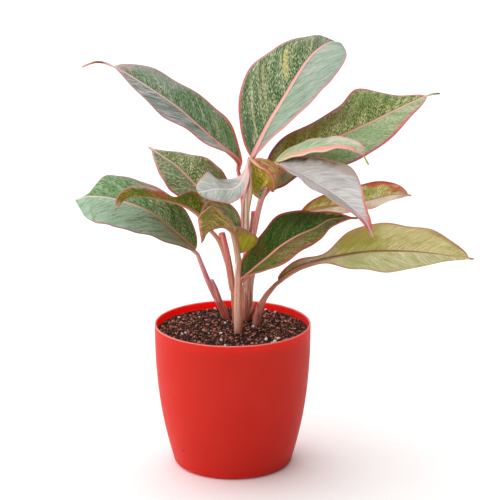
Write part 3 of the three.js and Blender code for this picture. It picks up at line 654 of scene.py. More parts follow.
def curve_at(values, shares, ease=0.0):
    """Values on a smooth curve through the given ones, at shares of the way from the first to the last.

    Ease is the power of a span's length that spaces its knots, and without it they are evenly spaced.
    """
    given = np.asarray(values, float)
    points = given[:, None] if given.ndim == 1 else given
    points = np.concatenate([[2 * points[0] - points[1]], points, [2 * points[-1] - points[-2]]])
    knots = np.ones((len(points), 1))
    if ease:
        knots = np.linalg.norm(np.diff(points, axis=0), axis=1)[:, None] ** ease
    spans = len(given) - 1
    span = np.minimum((shares * spans).astype(int), spans - 1)
    x = (shares * spans - span)[:, None]
    before, start, end, after = (points[span + k] for k in range(4))
    k0, k1, k2 = (knots[span + k] for k in range(3))
    leave = ((start - before) / k0 - (end - before) / (k0 + k1) + (end - start) / k1) * k1
    arrive = ((end - start) / k1 - (after - start) / (k1 + k2) + (after - end) / k2) * k1
    found = (2 * start - 2 * end + leave + arrive) * x**3
    found += (3 * end - 3 * start - 2 * leave - arrive) * x**2 + leave * x + start
    return found[:, 0] if given.ndim == 1 else found


def along_path(points, shares, ease=0.0):
    """Places and ways at even shares of the length of a curve through the points, and its length."""
    fine = np.linspace(0, 1, FINE + 1)
    places = curve_at(points, fine, ease)
    run = np.concatenate([[0], np.cumsum(np.linalg.norm(np.diff(places, axis=0), axis=1))])
    at = np.interp(shares * run[-1], run, fine)
    ways = np.gradient(places, axis=0)
    way = np.stack([np.interp(at, fine, ways[:, k]) for k in range(3)], axis=1)
    return curve_at(points, at, ease), unit(way), run[-1]


def smooth(values):
    """0 below 0, 1 above 1, and a smooth rise between them."""
    values = np.clip(values, 0, 1)
    return values * values * (3 - 2 * values)


# --- nodes ------------------------------------------------------------------------------------------


def linear(colour):
    """Scene colour of red, green and blue from 0 to 255."""
    parts = [c / 255 for c in colour]
    return [c / 12.92 if c <= 0.04045 else ((c + 0.055) / 1.055) ** 2.4 for c in parts]


class Wiring:
    """Adds nodes to a tree and joins them, so that a finish reads like a sum."""

    def __init__(self, tree):
        self.tree = tree

    def feed(self, socket, value):
        if isinstance(value, bpy.types.NodeSocket):
            self.tree.links.new(value, socket)
        elif socket.type == "RGBA" and len(value) == 3:
            socket.default_value = [*value, 1]
        else:
            socket.default_value = value

    def add(self, kind, inputs=(), **settings):
        """A new node with those settings, and its inputs by name or number."""
        node = self.tree.nodes.new(kind)
        for key, value in settings.items():
            setattr(node, key, value)
        for key, value in dict(inputs).items():
            self.feed(node.inputs[key], value)
        return node

    def math(self, operation, *values):
        kind = "ShaderNodeMath"
        return self.add(kind, enumerate(values), operation=operation).outputs[0]

    def vector(self, x=0.0, y=0.0, z=0.0):
        return self.add("ShaderNodeCombineXYZ", enumerate((x, y, z))).outputs[0]

    def split(self, vector):
        return self.add("ShaderNodeSeparateXYZ", {0: vector}).outputs

    def rise(self, value, low, high, to=(0.0, 1.0)):
        """A smooth rise of the value from low to high, onto a new range."""
        node = self.add("ShaderNodeMapRange", {0: value, 1: low, 2: high}, interpolation_type="SMOOTHSTEP")
        node.inputs[3].default_value, node.inputs[4].default_value = to
        return node.outputs[0]

    def mix(self, share, first, second, blend="MIX"):
        node = self.add("ShaderNodeMix", {0: share}, data_type="RGBA", blend_type=blend)
        self.feed(node.inputs[6], first)
        self.feed(node.inputs[7], second)
        return node.outputs[2]

    def noise(self, vector, scale, detail=2.0, roughness=0.5):
        inputs = {"Vector": vector, "Scale": scale, "Detail": detail, "Roughness": roughness}
        return self.add("ShaderNodeTexNoise", inputs).outputs[0]

    def ramp(self, value, colours):
        """Colours that follow one another evenly as the value goes from 0 to 1."""
        node = self.add("ShaderNodeValToRGB", {0: value})
        stops = node.color_ramp.elements
        while len(stops) < len(colours):
            stops.new(0.5)
        for k, colour in enumerate(colours):
            stops[k].position = k / (len(colours) - 1)
        for stop, colour in zip(stops, colours):
            stop.color = [*linear(colour), 1]
        return node.outputs[0]

    def attribute(self, name):
        return self.add("ShaderNodeAttribute", attribute_name=name).outputs


def new_finish(name, roughness, **sockets):
    """A material, its wiring and its shader, with plain values set on the shader's own sockets."""
    material = bpy.data.materials.new(name)
    material.use_nodes = True
    shader = material.node_tree.nodes["Principled BSDF"]
    shader.inputs["Roughness"].default_value = roughness
    for key, value in sockets.items():
        shader.inputs[key.replace("_", " ")].default_value = value
    return material, Wiring(material.node_tree), shader


def bump(wiring, shader, height, distance, strength=1.0):
    inputs = {"Strength": strength, "Distance": distance, "Height": height}
    wiring.feed(shader.inputs["Normal"], wiring.add("ShaderNodeBump", inputs).outputs[0])


# --- pieces -----------------------------------------------------------------------------------------


def new_mesh(name, points, faces):
    mesh = bpy.data.meshes.new(name)
    mesh.from_pydata(np.asarray(points).tolist(), [], faces)
    mesh.polygons.foreach_set("use_smooth", np.ones(len(mesh.polygons), bool))
    return mesh


def face_outward(mesh):
    work = bmesh.new()
    work.from_mesh(mesh)
    bmesh.ops.recalc_face_normals(work, faces=work.faces)
    work.to_mesh(mesh)
    work.free()


def give(mesh, name, values):
    """Stores a number or a vector for each point of the mesh."""
    values = np.asarray(values, np.float32)
    kind, key = ("FLOAT", "value") if values.ndim == 1 else ("FLOAT_VECTOR", "vector")
    mesh.attributes.new(name, kind, "POINT").data.foreach_set(key, values.ravel())


def link(name, mesh):
    piece = bpy.data.objects.new(name, mesh)
    bpy.context.scene.collection.objects.link(piece)
    return piece


def add_piece(name, mesh, materials, slot, *nodes):
    """The piece on its body, standing for its CAD nodes."""
    for material in materials:
        mesh.materials.append(material)
    piece = link(name, mesh)
    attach(piece, BODY)
    if nodes:
        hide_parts(*nodes)
    return piece


def turned(profile, segments):
    """Points and faces of a profile turned round the Z axis, both ends of which lie on the axis."""
    turns = np.arange(segments) * 2 * np.pi / segments
    rings = [[(r * np.cos(t), r * np.sin(t), z) for t in turns] for r, z in profile[1:-1]]
    points = [(0, 0, profile[0][1]), *(p for ring in rings for p in ring), (0, 0, profile[-1][1])]
    faces = []
    for i in range(len(rings) - 1):
        for j in range(segments):
            a, b = 1 + i * segments + j, 1 + i * segments + (j + 1) % segments
            faces.append((a, b, b + segments, a + segments))
    last = len(points) - 1
    for j in range(segments):
        k = (j + 1) % segments
        faces.append((0, 1 + k, 1 + j))
        faces.append((last, last - segments + j, last - segments + k))
    return points, faces


# --- geometry nodes ---------------------------------------------------------------------------------


def new_tree(name, inputs):
    """A geometry tree with named inputs, its wiring and the sockets that those come from."""
    tree = bpy.data.node_groups.new(name, "GeometryNodeTree")
    tree.interface.new_socket("Geometry", in_out="INPUT", socket_type="NodeSocketGeometry")
    for label, kind in inputs.items():
        tree.interface.new_socket(label, in_out="INPUT", socket_type="NodeSocket" + kind)
    tree.interface.new_socket("Geometry", in_out="OUTPUT", socket_type="NodeSocketGeometry")
    return tree, Wiring(tree), tree.nodes.new("NodeGroupInput").outputs


def close_tree(wiring, geometry, material):
    """Ends a tree: real faces in place of instances, and the material on them."""
    real = wiring.add("GeometryNodeRealizeInstances", {0: geometry}).outputs[0]
    dressed = wiring.add("GeometryNodeSetMaterial", {"Geometry": real, "Material": material}).outputs[0]
    wiring.add("NodeGroupOutput", {0: dressed})


def grown(mesh, tree, values):
    """The plain mesh that a tree makes of a mesh, with values for its named inputs."""
    source = link(tree.name, mesh)
    modifier = source.modifiers.new(tree.name, "NODES")
    modifier.node_group = tree
    for item in tree.interface.items_tree:
        if item.in_out == "INPUT" and item.name in values:
            modifier[item.identifier] = values[item.name]
    depsgraph = bpy.context.evaluated_depsgraph_get()
    made = bpy.data.meshes.new_from_object(
        source.evaluated_get(depsgraph), preserve_all_data_layers=True, depsgraph=depsgraph
    )
    source.modifiers.remove(modifier)
    bpy.data.objects.remove(source)
    return made


WOBBLE_SCALE = 620.0  # of the noise that makes lumps uneven, in cells to a metre
LEAST_STRETCH, MOST_STRETCH = (0.7, 0.7, 0.6), (1.25, 1.25, 1.0)
SMALL_SHARE = 2.0  # power that makes small crumbs more common than large ones


def scaled(w, vector, factor):
    node = w.add("ShaderNodeVectorMath", {0: vector}, operation="SCALE")
    w.feed(node.inputs["Scale"], factor)
    return node.outputs[0]


def crumb_tree(name, scattered):
    """Lumps of uneven size at the points of a mesh, or scattered over its faces."""
    inputs = {
        "Density": "Float",
        "Smallest": "Float",
        "Largest": "Float",
        "Lumpiness": "Float",
        "Sides": "Int",
        "Rings": "Int",
        "Seed": "Int",
        "Material": "Material",
    }
    tree, w, given = new_tree(name, inputs)
    if scattered:
        spots = w.add(
            "GeometryNodeDistributePointsOnFaces",
            {"Mesh": given["Geometry"], "Density": given["Density"], "Seed": given["Seed"]},
        ).outputs["Points"]
        chance = w.add("FunctionNodeRandomValue", {"Seed": given["Seed"]}).outputs[1]
        span = w.math("SUBTRACT", given["Largest"], given["Smallest"])
        size = w.math("MULTIPLY_ADD", w.math("POWER", chance, SMALL_SHARE), span, given["Smallest"])
        spots = w.add("GeometryNodeStoreNamedAttribute", {"Geometry": spots, "Name": "size", "Value": size})
        spots = spots.outputs[0]
    else:
        spots = w.add("GeometryNodeMeshToPoints", {"Mesh": given["Geometry"]}).outputs[0]
    tone = w.add("FunctionNodeRandomValue", {"Seed": w.math("ADD", given["Seed"], 1.0)}).outputs[1]
    spots = w.add("GeometryNodeStoreNamedAttribute", {"Geometry": spots, "Name": "tone", "Value": tone})
    size = w.add("GeometryNodeInputNamedAttribute", {"Name": "size"}).outputs[0]
    stretch = w.add("FunctionNodeRandomValue", data_type="FLOAT_VECTOR")
    stretch.inputs[0].default_value = LEAST_STRETCH
    stretch.inputs[1].default_value = MOST_STRETCH
    w.feed(stretch.inputs["Seed"], w.math("ADD", given["Seed"], 2.0))
    turn = w.add("FunctionNodeRandomValue", data_type="FLOAT_VECTOR")
    turn.inputs[1].default_value = (math.tau, math.tau, math.tau)
    w.feed(turn.inputs["Seed"], w.math("ADD", given["Seed"], 3.0))
    shape = {"Radius": 1.0, "Segments": given["Sides"], "Rings": given["Rings"]}
    lump = w.add("GeometryNodeMeshUVSphere", shape).outputs[0]
    lumps = w.add(
        "GeometryNodeInstanceOnPoints",
        {
            "Points": spots.outputs[0],
            "Instance": lump,
            "Rotation": w.add("FunctionNodeEulerToRotation", {0: turn.outputs[0]}).outputs[0],
            "Scale": scaled(w, stretch.outputs[0], size),
        },
    ).outputs[0]
    real = w.add("GeometryNodeRealizeInstances", {0: lumps}).outputs[0]
    place = w.add("GeometryNodeInputPosition").outputs[0]
    wobble = w.add("ShaderNodeTexNoise", {"Vector": place, "Scale": WOBBLE_SCALE, "Detail": 1.0})
    evened = {0: wobble.outputs["Color"], 1: (0.5, 0.5, 0.5)}
    push = w.add("ShaderNodeVectorMath", evened, operation="SUBTRACT").outputs[0]
    reach = w.math("MULTIPLY", size, given["Lumpiness"])
    uneven = w.add("GeometryNodeSetPosition", {"Geometry": real, "Offset": scaled(w, push, reach)}).outputs[0]
    rounded = w.add("GeometryNodeSetShadeSmooth", {0: uneven}).outputs[0]
    close_tree(w, rounded, given["Material"])
    return tree


def stalk_tree():
    """Round stalks along the edges of a mesh, whose points hold their radius."""
    tree, w, given = new_tree("Stalks", {"Sides": "Int", "Material": "Material"})
    paths = w.add("GeometryNodeMeshToCurve", {0: given["Geometry"]}).outputs[0]
    ring = w.add("GeometryNodeCurvePrimitiveCircle", {"Resolution": given["Sides"], "Radius": 1.0}).outputs[0]
    turn = w.math("MULTIPLY", w.add("GeometryNodeSplineParameter").outputs["Factor"], math.tau)
    way = w.vector(w.math("COSINE", turn), w.math("SINE", turn))
    ring = w.add(
        "GeometryNodeStoreNamedAttribute", {"Geometry": ring, "Name": "turn"}, data_type="FLOAT_VECTOR"
    )
    w.feed(ring.inputs["Value"], way)
    radius = w.add("GeometryNodeInputNamedAttribute", {"Name": "size"}).outputs[0]
    inputs = {"Curve": paths, "Profile Curve": ring.outputs[0], "Scale": radius, "Fill Caps": True}
    tubes = w.add("GeometryNodeCurveToMesh", inputs).outputs[0]
    rounded = w.add("GeometryNodeSetShadeSmooth", {0: tubes}).outputs[0]
    close_tree(w, rounded, given["Material"])
    return tree


# --- the pot ----------------------------------------------------------------------------------------


class PotSizes(PropertyGroup):
    height: FloatProperty(
        name="Height", description="Height of the pot", default=POT_HIGH.z, unit="LENGTH"
    )
    mouth: FloatProperty(
        name="Mouth radius", description="Outer radius at the rim", default=POT_HIGH.x, unit="LENGTH"
    )
    foot: FloatProperty(
        name="Foot radius", description="Outer radius at the base, before its edge is rounded",
        default=0.049, unit="LENGTH",
    )
    flare: FloatProperty(name="Flare", description="Power of the side's curve", default=2.4)
    wall: FloatProperty(name="Wall", description="Thickness of the wall", default=0.0016, unit="LENGTH")
    floor: FloatProperty(name="Floor", description="Thickness of the bottom", default=0.002, unit="LENGTH")
    corner: FloatProperty(
        name="Corner", description="Round of the bottom edge", default=0.0045, unit="LENGTH"
    )
    segments: IntProperty(name="Segments", description="Faces round the pot", default=144)
    colour: FloatVectorProperty(
        name="Colour", description="Colour of the plastic", default=linear((247, 44, 33)), subtype="COLOR"
    )


DRAIN_HOLES, DRAIN_RADIUS, DRAIN_CIRCLE, DRAIN_SIDES = 6, 0.004, 0.030, 32
LIP_STEPS, CORNER_STEPS, SIDE_STEPS = 8, 10, 40
SPECK = Vector((-0.0402, -0.0366, 0.0215))  # a dark speck in the plastic
SPECK_RADIUS = 0.0009


def side_radius(pot, z, inset=0.0):
    """Radius of the pot's side at a height, drawn in by inset."""
    return pot.mouth - (pot.mouth - pot.foot) * max(0.0, 1 - z / pot.height) ** pot.flare - inset


def side_profile(pot, low, high, inset, corner):
    """Radius and height up the side, from the rounded bottom edge."""
    edge = side_radius(pot, low + corner, inset)
    turns = np.linspace(0, math.pi / 2, CORNER_STEPS, endpoint=False)
    points = [(edge - corner + corner * math.sin(t), low + corner * (1 - math.cos(t))) for t in turns]
    points += [(side_radius(pot, z, inset), z) for z in np.linspace(low + corner, high, SIDE_STEPS + 1)]
    return points


def pot_finish(pot):
    material, w, shader = new_finish(
        "red_plastic", 0.5, Specular_IOR_Level=0.1, Subsurface_Weight=1.0, Subsurface_Scale=0.01,
        Subsurface_Radius=(1.0, 0.12, 0.08),
    )
    place = w.add("ShaderNodeTexCoord").outputs["Object"]
    cloud = w.noise(place, 14.0, 3.0)
    grain = w.noise(place, 900.0, 2.0)
    x, y, z = w.split(place)
    dull = [c * 0.9 for c in pot.colour]
    base = w.mix(w.rise(cloud, 0.35, 0.7), pot.colour, dull)
    # Darker towards the bottom: painted shade on the pot's lower side.
    base = w.mix(w.rise(z, 0.0, 0.8 * pot.height, (0.5, 0.0)), base, [c * 0.6 for c in pot.colour])
    away = w.add("ShaderNodeVectorMath", {0: place, 1: SPECK}, operation="DISTANCE").outputs["Value"]
    base = w.mix(w.rise(away, SPECK_RADIUS, 1.5 * SPECK_RADIUS, (0.95, 0.0)), base, linear((20, 8, 8)))
    # A pale pink line along the top of the lip: a painted highlight where light from above catches it.
    lip = w.rise(z, pot.height - 0.8 * pot.wall, pot.height - 0.2 * pot.wall, (0.0, 0.5))
    base = w.mix(lip, base, linear((255, 172, 168)))
    w.feed(shader.inputs["Base Color"], base)
    scuffs = w.noise(w.vector(x, y, w.math("MULTIPLY", z, 0.3)), 160.0, 4.0, 0.6)
    w.feed(shader.inputs["Roughness"], w.rise(scuffs, 0.3, 0.75, (0.46, 0.58)))
    bump(w, shader, grain, 0.00004)
    return material


def pot_shell(pot):
    """The pot turned in one piece, with a rolled lip and no holes."""
    lip = pot.wall / 2
    top = pot.height - lip
    outer = side_profile(pot, 0, top, 0, pot.corner)
    middle = side_radius(pot, top) - lip
    turns = np.linspace(0, math.pi, LIP_STEPS + 1)[1:-1]
    rim = [(middle + lip * math.cos(t), top + lip * math.sin(t)) for t in turns]
    inner = side_profile(pot, pot.floor, top, pot.wall, pot.corner - pot.wall)[::-1]
    mesh = new_mesh("pot_turned", *turned([(0, 0), *outer, *rim, *inner, (0, pot.floor)], pot.segments))
    face_outward(mesh)
    return mesh


def drill(depth):
    """The drain holes as rods through the bottom."""
    holes = bmesh.new()
    for k in range(DRAIN_HOLES):
        turn = math.tau * k / DRAIN_HOLES
        made = bmesh.ops.create_cone(
            holes, cap_ends=True, segments=DRAIN_SIDES,
            radius1=DRAIN_RADIUS, radius2=DRAIN_RADIUS, depth=depth,
        )
        at = Vector((DRAIN_CIRCLE * math.cos(turn), DRAIN_CIRCLE * math.sin(turn), 0))
        bmesh.ops.translate(holes, verts=made["verts"], vec=at)
    rods = bpy.data.meshes.new("drain_holes")
    holes.to_mesh(rods)
    holes.free()
    return rods


def make_pot(pot):
    body = link("pot_body", pot_shell(pot))
    cutter = link("drain_holes", drill(4 * pot.floor))
    cut = body.modifiers.new("Drain holes", "BOOLEAN")
    cut.operation, cut.solver, cut.object = "DIFFERENCE", "EXACT", cutter
    depsgraph = bpy.context.evaluated_depsgraph_get()
    drilled = bpy.data.meshes.new_from_object(body.evaluated_get(depsgraph), depsgraph=depsgraph)
    bpy.data.objects.remove(body)
    bpy.data.objects.remove(cutter)
    add_piece("red_pot", drilled, [pot_finish(pot)], "pot_plastic", "pot")


# --- the soil ---------------------------------------------------------------------------------------


class SoilSizes(PropertyGroup):
    below: FloatProperty(
        name="Below the rim", description="Depth of the soil's edge under the rim",
        default=0.0065, unit="LENGTH",
    )
    crown: FloatProperty(
        name="Crown", description="Rise of the soil toward the middle", default=0.003, unit="LENGTH"
    )
    lump: FloatProperty(name="Lumps", description="Height of the lumps", default=0.0016, unit="LENGTH")
    crumbs: FloatProperty(name="Crumbs", description="Large crumbs to a square metre", default=190000)
    grit: FloatProperty(name="Grit", description="Small crumbs to a square metre", default=380000)
    seed: IntProperty(name="Seed", description="Choice of the crumbs' places", default=7)
    dark: FloatVectorProperty(
        name="Dark", description="Darkest crumbs", default=linear((16, 7, 5)), subtype="COLOR"
    )
    brown: FloatVectorProperty(
        name="Brown", description="Palest crumbs", default=linear((236, 152, 126)), subtype="COLOR"
    )


SOIL_SEGMENTS, SOIL_RINGS = 200, 70
SOIL_GAP = 0.0003  # between the soil and the pot
CRUMB_REACH = 0.0605  # how far crumbs lie from the axis
PATCH_RINGS, PATCH_SEGMENTS = 24, 72
CRUMBS_LUMPY, GRAINS_LUMPY = 0.9, 0.8
GRAIN_SIDES, GRAIN_RINGS = 12, 8
GRAIN_LIFT = 0.6  # how far the white grains are raised by the crumbs under them, in millimetres
GRAIN_SHOWN = 0.6  # height of a grain's centre over what it lies on, as a share of its radius


def soil_height(pot, soil, x, y):
    """Height of the lumpy top."""
    rise = soil.crown * (1 - (x * x + y * y) / pot.mouth**2)
    broad = noise.noise(Vector((x, y, 0)) * 70)
    fine = noise.fractal(Vector((x, y, 0.3)) * 300, 0.8, 2.0, 3)
    return pot.height - soil.below + rise + soil.lump * (0.6 * broad + 0.5 * fine)


def soil_finish(soil):
    material, w, shader = new_finish("potting_mix", 0.95, Specular_IOR_Level=0.2)
    place = w.add("ShaderNodeTexCoord").outputs["Object"]
    clods = w.noise(place, 520.0, 4.0, 0.7)
    base = w.mix(w.rise(clods, 0.35, 0.7), soil.dark, [c * 0.25 for c in soil.brown])
    w.feed(shader.inputs["Base Color"], base)
    bump(w, shader, w.noise(place, 1400.0, 4.0, 0.7), 0.0006)
    return material


def crumb_finish(soil):
    material, w, shader = new_finish("soil_crumbs", 0.85, Specular_IOR_Level=0.3)
    place = w.add("ShaderNodeTexCoord").outputs["Object"]
    tone = w.attribute("tone")["Fac"]
    fine = w.noise(place, 1100.0, 3.0, 0.65)
    shade = w.math("ADD", w.math("POWER", tone, 4.0), w.math("MULTIPLY", w.math("SUBTRACT", fine, 0.5), 0.9))
    base = w.mix(w.rise(shade, 0.0, 1.0), soil.dark, soil.brown)
    ruddy = w.rise(w.noise(place, 90.0, 2.0), 0.45, 0.7)
    base = w.mix(w.math("MULTIPLY", ruddy, 0.2), base, linear((128, 58, 46)))
    w.feed(shader.inputs["Base Color"], base)
    bump(w, shader, fine, 0.0003)
    return material


def grain_finish():
    material, w, shader = new_finish("perlite", 0.7, Specular_IOR_Level=0.4)
    place = w.add("ShaderNodeTexCoord").outputs["Object"]
    pits = w.noise(place, 1600.0, 3.0, 0.6)
    base = w.mix(w.rise(pits, 0.3, 0.6), linear((206, 198, 190)), linear((250, 248, 244)))
    w.feed(shader.inputs["Base Color"], base)
    bump(w, shader, pits, 0.0003)
    return material


def make_soil(pot, soil):
    inset = pot.wall + SOIL_GAP
    level = pot.height - soil.below
    side = side_profile(pot, pot.floor + SOIL_GAP, level, inset, pot.corner - pot.wall)
    edge = side[-1][0]
    top = [(edge * (SOIL_RINGS - k) / SOIL_RINGS, level) for k in range(1, SOIL_RINGS)]
    points, faces = turned([(0, pot.floor + SOIL_GAP), *side, *top, (0, level)], SOIL_SEGMENTS)
    points = np.array(points)
    on_top = points[:, 2] > level - SOIL_GAP
    inside = np.hypot(*points[:, :2].T) < edge - SOIL_GAP
    for k in np.flatnonzero(on_top & inside):
        points[k, 2] = soil_height(pot, soil, *points[k, :2])
    mesh = new_mesh("soil_body", points, faces)
    face_outward(mesh)
    add_piece("potting_soil", mesh, [soil_finish(soil)], "potting_soil", "soil")


def soil_patch(pot, soil):
    """The reach of the crumbs as a sheet, for scattering."""
    rings, segments = PATCH_RINGS, PATCH_SEGMENTS
    reaches = [CRUMB_REACH * k / rings for k in range(1, rings + 1)]
    turns = np.arange(segments) * 2 * np.pi / segments
    points = [(0, 0)] + [(r * np.cos(t), r * np.sin(t)) for r in reaches for t in turns]
    points = [(x, y, soil_height(pot, soil, x, y)) for x, y in points]
    faces = [(0, 1 + j, 1 + (j + 1) % segments) for j in range(segments)]
    for i in range(rings - 1):
        for j in range(segments):
            a, b = 1 + i * segments + j, 1 + i * segments + (j + 1) % segments
            faces.append((a, a + segments, b + segments, b))
    return new_mesh("soil_patch", points, faces)


def make_crumbs(pot, soil):
    scatter = crumb_tree("Scattered crumbs", True)
    finish = crumb_finish(soil)
    kinds = {
        "soil_crumbs": (soil.crumbs, 0.0006, 0.0016, 7, 0),
        "soil_grit": (soil.grit, 0.0004, 0.0011, 5, 50),
    }
    for name, (density, smallest, largest, sides, shift) in kinds.items():
        values = {
            "Density": density,
            "Smallest": smallest,
            "Largest": largest,
            "Lumpiness": CRUMBS_LUMPY,
            "Sides": sides,
            "Rings": sides - 2,
            "Seed": soil.seed + shift,
            "Material": finish,
        }
        made = grown(soil_patch(pot, soil), scatter, values)
        add_piece(name, made, [], "potting_soil", "soil")


def make_grains(pot, soil):
    """White grains at their places, among the crumbs."""
    spots = []
    for x, y, radius in GRAINS:
        ground = soil_height(pot, soil, x * MM, y * MM)
        spots.append((x * MM, y * MM, ground + (GRAIN_SHOWN * radius + GRAIN_LIFT) * MM))
    mesh = new_mesh("grain_spots", spots, [])
    give(mesh, "size", [radius * MM for _, _, radius in GRAINS])
    values = {
        "Lumpiness": GRAINS_LUMPY,
        "Sides": GRAIN_SIDES,
        "Rings": GRAIN_RINGS,
        "Seed": soil.seed,
        "Material": grain_finish(),
    }
    made = grown(mesh, crumb_tree("Placed grains", False), values)
    add_piece("perlite_grains", made, [], "potting_soil", "soil")


# --- the leaves -------------------------------------------------------------------------------------


class BladeSizes(PropertyGroup):
    thickness: FloatProperty(
        name="Thickness", description="Thickness at the midrib", default=0.0006, unit="LENGTH"
    )
    crease: FloatProperty(
        name="Crease", description="Round of the crease along the midrib", default=0.0012, unit="LENGTH"
    )
    quilt: FloatProperty(
        name="Quilting", description="Height of the leaf between its side veins",
        default=0.0004, unit="LENGTH",
    )
    ripple: FloatProperty(
        name="Ripple", description="Height of the waves at the edge", default=0.0007, unit="LENGTH"
    )
    vein_gap: FloatProperty(
        name="Vein gap", description="Distance of the side veins", default=0.009, unit="LENGTH"
    )
    rows: IntProperty(name="Rows", description="Rows of faces along a blade", default=150)
    columns: IntProperty(name="Columns", description="Columns of faces on each half", default=20)


LEAST_WIDTH = 1.1  # half width of a blade at its very ends
LEAST_CURL = 1e-3  # stands for no curl, in radians, so that nothing is divided by zero
EDGE_THINNING = 0.45
WAVES = 4.3  # waves along an edge
WAVE_SHIFT, LEFT_SHIFT = 0.37, 2.1  # of the waves from leaf to leaf in turns, and of the left half in radians
VEIN_SLANT, VEIN_BEND = 0.85, 0.45  # how far the side veins run forward on their way to the edge


def leaf_frame(leaf, shares):
    """Place of the midrib at shares of its length, and the ways ahead, to its left side and up there."""
    place, ahead, length = along_path(leaf["midrib"], shares)
    side = unit(np.cross(curve_at(leaf["face"], shares), ahead))
    return place, ahead, side, np.cross(ahead, side), length


def outline(leaf, shares):
    """Share of the full half width: rounded at the base, pointed at the tip."""
    base, tip = leaf["ends"]
    widest = base / (base + tip)
    x = np.minimum(1, shares / (1 - leaf["tail"]))
    return (x / widest) ** base * ((1 - x) / (1 - widest)) ** tip


def half_blade(leaf, half, sign, frames, rows, steps, sizes):
    """One half from the midrib to the edge: its points, and what the finish reads from them."""
    place, _, side, up, length = frames
    width = np.maximum(curve_at(half["width"], rows) * outline(leaf, rows), LEAST_WIDTH)[:, None]
    fold = np.radians(curve_at(half["fold"], rows))[:, None]
    bend = np.radians(curve_at(half["curl"], rows))[:, None]
    curl = np.where(np.abs(bend) < LEAST_CURL, LEAST_CURL, bend)
    across = width * (np.sin(fold + curl * steps) - np.sin(fold)) / curl
    crease = sizes.crease / MM / width
    soft = (np.sqrt(steps**2 + crease**2) - crease) / (np.sqrt(1 + crease**2) - crease)
    rise = width * (np.cos(fold) - np.cos(fold + curl * soft)) / curl
    points = place[:, None] + sign * across[..., None] * side[:, None] + rise[..., None] * up[:, None]
    along = rows[:, None] * length + 0 * steps
    vein = along - width * (VEIN_SLANT * steps + VEIN_BEND * steps**2)
    sheet = np.stack([along, sign * steps * width, vein], axis=-1)
    span = np.stack([rows[:, None] + 0 * steps, steps + 0 * width, (1 - steps) * width], axis=-1)
    return points, sheet, span


def surface_normals(points):
    return unit(np.cross(np.gradient(points, axis=0), np.gradient(points, axis=1)))


def uneven(points, sheet, span, seed, sizes):
    """The blade's middle surface with its side veins sunk between raised quilting, and its edge waved."""
    run, share, vein = span[..., 0], span[..., 1], sheet[..., 2]
    quilt = np.abs(np.sin(np.pi * vein * MM / sizes.vein_gap)) ** 0.7 - 0.5
    quilt *= smooth(share / 0.2) * smooth((1 - share) / 0.15) * sizes.quilt / MM
    shift = np.where(sheet[..., 1] > 0, LEFT_SHIFT, 0)
    wave = np.sin(2 * np.pi * (run * WAVES + seed * WAVE_SHIFT) + shift)
    wave = wave * share**3 * np.sin(np.pi * run) * sizes.ripple / MM
    return points + (quilt + wave)[..., None] * surface_normals(points)


def around(values):
    """Values of the middle surface, for the ring of points round each row of a closed blade."""
    return np.concatenate([values, values[:, -1:], values[:, ::-1], values[:, :1]], axis=1)


def rounded_edge(points, up, edge, inner):
    """Points just outside an edge, between the two sides."""
    thick = np.linalg.norm(up[:, edge], axis=-1, keepdims=True)
    return (points[:, edge] + unit(points[:, edge] - points[:, inner]) * thick)[:, None]


def blade_faces(rows, columns, across):
    """Faces of a closed blade, its two ends included, and the number of the material of each."""
    faces, kinds = [], []
    for i in range(rows):
        for k in range(columns):
            a, b = i * columns + k, i * columns + (k + 1) % columns
            faces.append((a, a + columns, b + columns, b))
            kinds.append(1 if across < k < columns - 2 else 0)
    for start in (0, rows * columns):
        for k in range(across - 1):
            faces.append((start + k, start + k + 1, start + columns - 3 - k, start + columns - 2 - k))
        faces.append((start, start + columns - 2, start + columns - 1))
        faces.append((start + across - 1, start + across, start + across + 1))
    kinds += [0] * (len(faces) - len(kinds))
    return faces, kinds


def blade_mesh(name, leaf, sizes):
    """A closed blade with rounded edges."""
    rows = np.linspace(0, 1, sizes.rows + 1)
    steps = (1 - np.cos(np.linspace(0, np.pi, sizes.columns + 1)))[None] / 2
    frames = leaf_frame(leaf, rows)
    right = half_blade(leaf, leaf["right"], -1, frames, rows, steps, sizes)
    left = half_blade(leaf, leaf["left"], 1, frames, rows, steps, sizes)
    points, sheet, span = (np.concatenate([r[:, :0:-1], l], axis=1) for r, l in zip(right, left))
    points = uneven(points, sheet, span, int(name[-2:]), sizes)
    thinned = (1 - EDGE_THINNING * span[..., 1] ** 2)[..., None]
    up = surface_normals(points) * (sizes.thickness / MM / 2) * thinned
    upper, lower = points + up, (points - up)[:, ::-1]
    edges = rounded_edge(points, up, -1, -2), rounded_edge(points, up, 0, 1)
    ring = np.concatenate([upper, edges[0], lower, edges[1]], axis=1)
    faces, kinds = blade_faces(sizes.rows, ring.shape[1], points.shape[1])
    mesh = new_mesh(name, ring.reshape(-1, 3) * MM, faces)
    give(mesh, "sheet", around(sheet).reshape(-1, 3))
    give(mesh, "span", around(span).reshape(-1, 3))
    mesh.polygons.foreach_set("material_index", np.array(kinds, np.int32))
    face_outward(mesh)
    return mesh


LEAST_TAIL = 0.05  # a shorter drawn-out tip has no colours of its own
HALF_SEAM = 0.3  # how softly one half's colours pass into the other's, in millimetres
CLOUD_SHARE = 0.22  # share of broad clouds in the pattern, beside its specks and streaks
DEEP_TO_MIDDLE, MIDDLE_TO_PALE = (0.42, 0.51), (0.52, 0.61)
VEINS_AHEAD = 200  # whole veins added before the nearest one is found, so that no place is negative


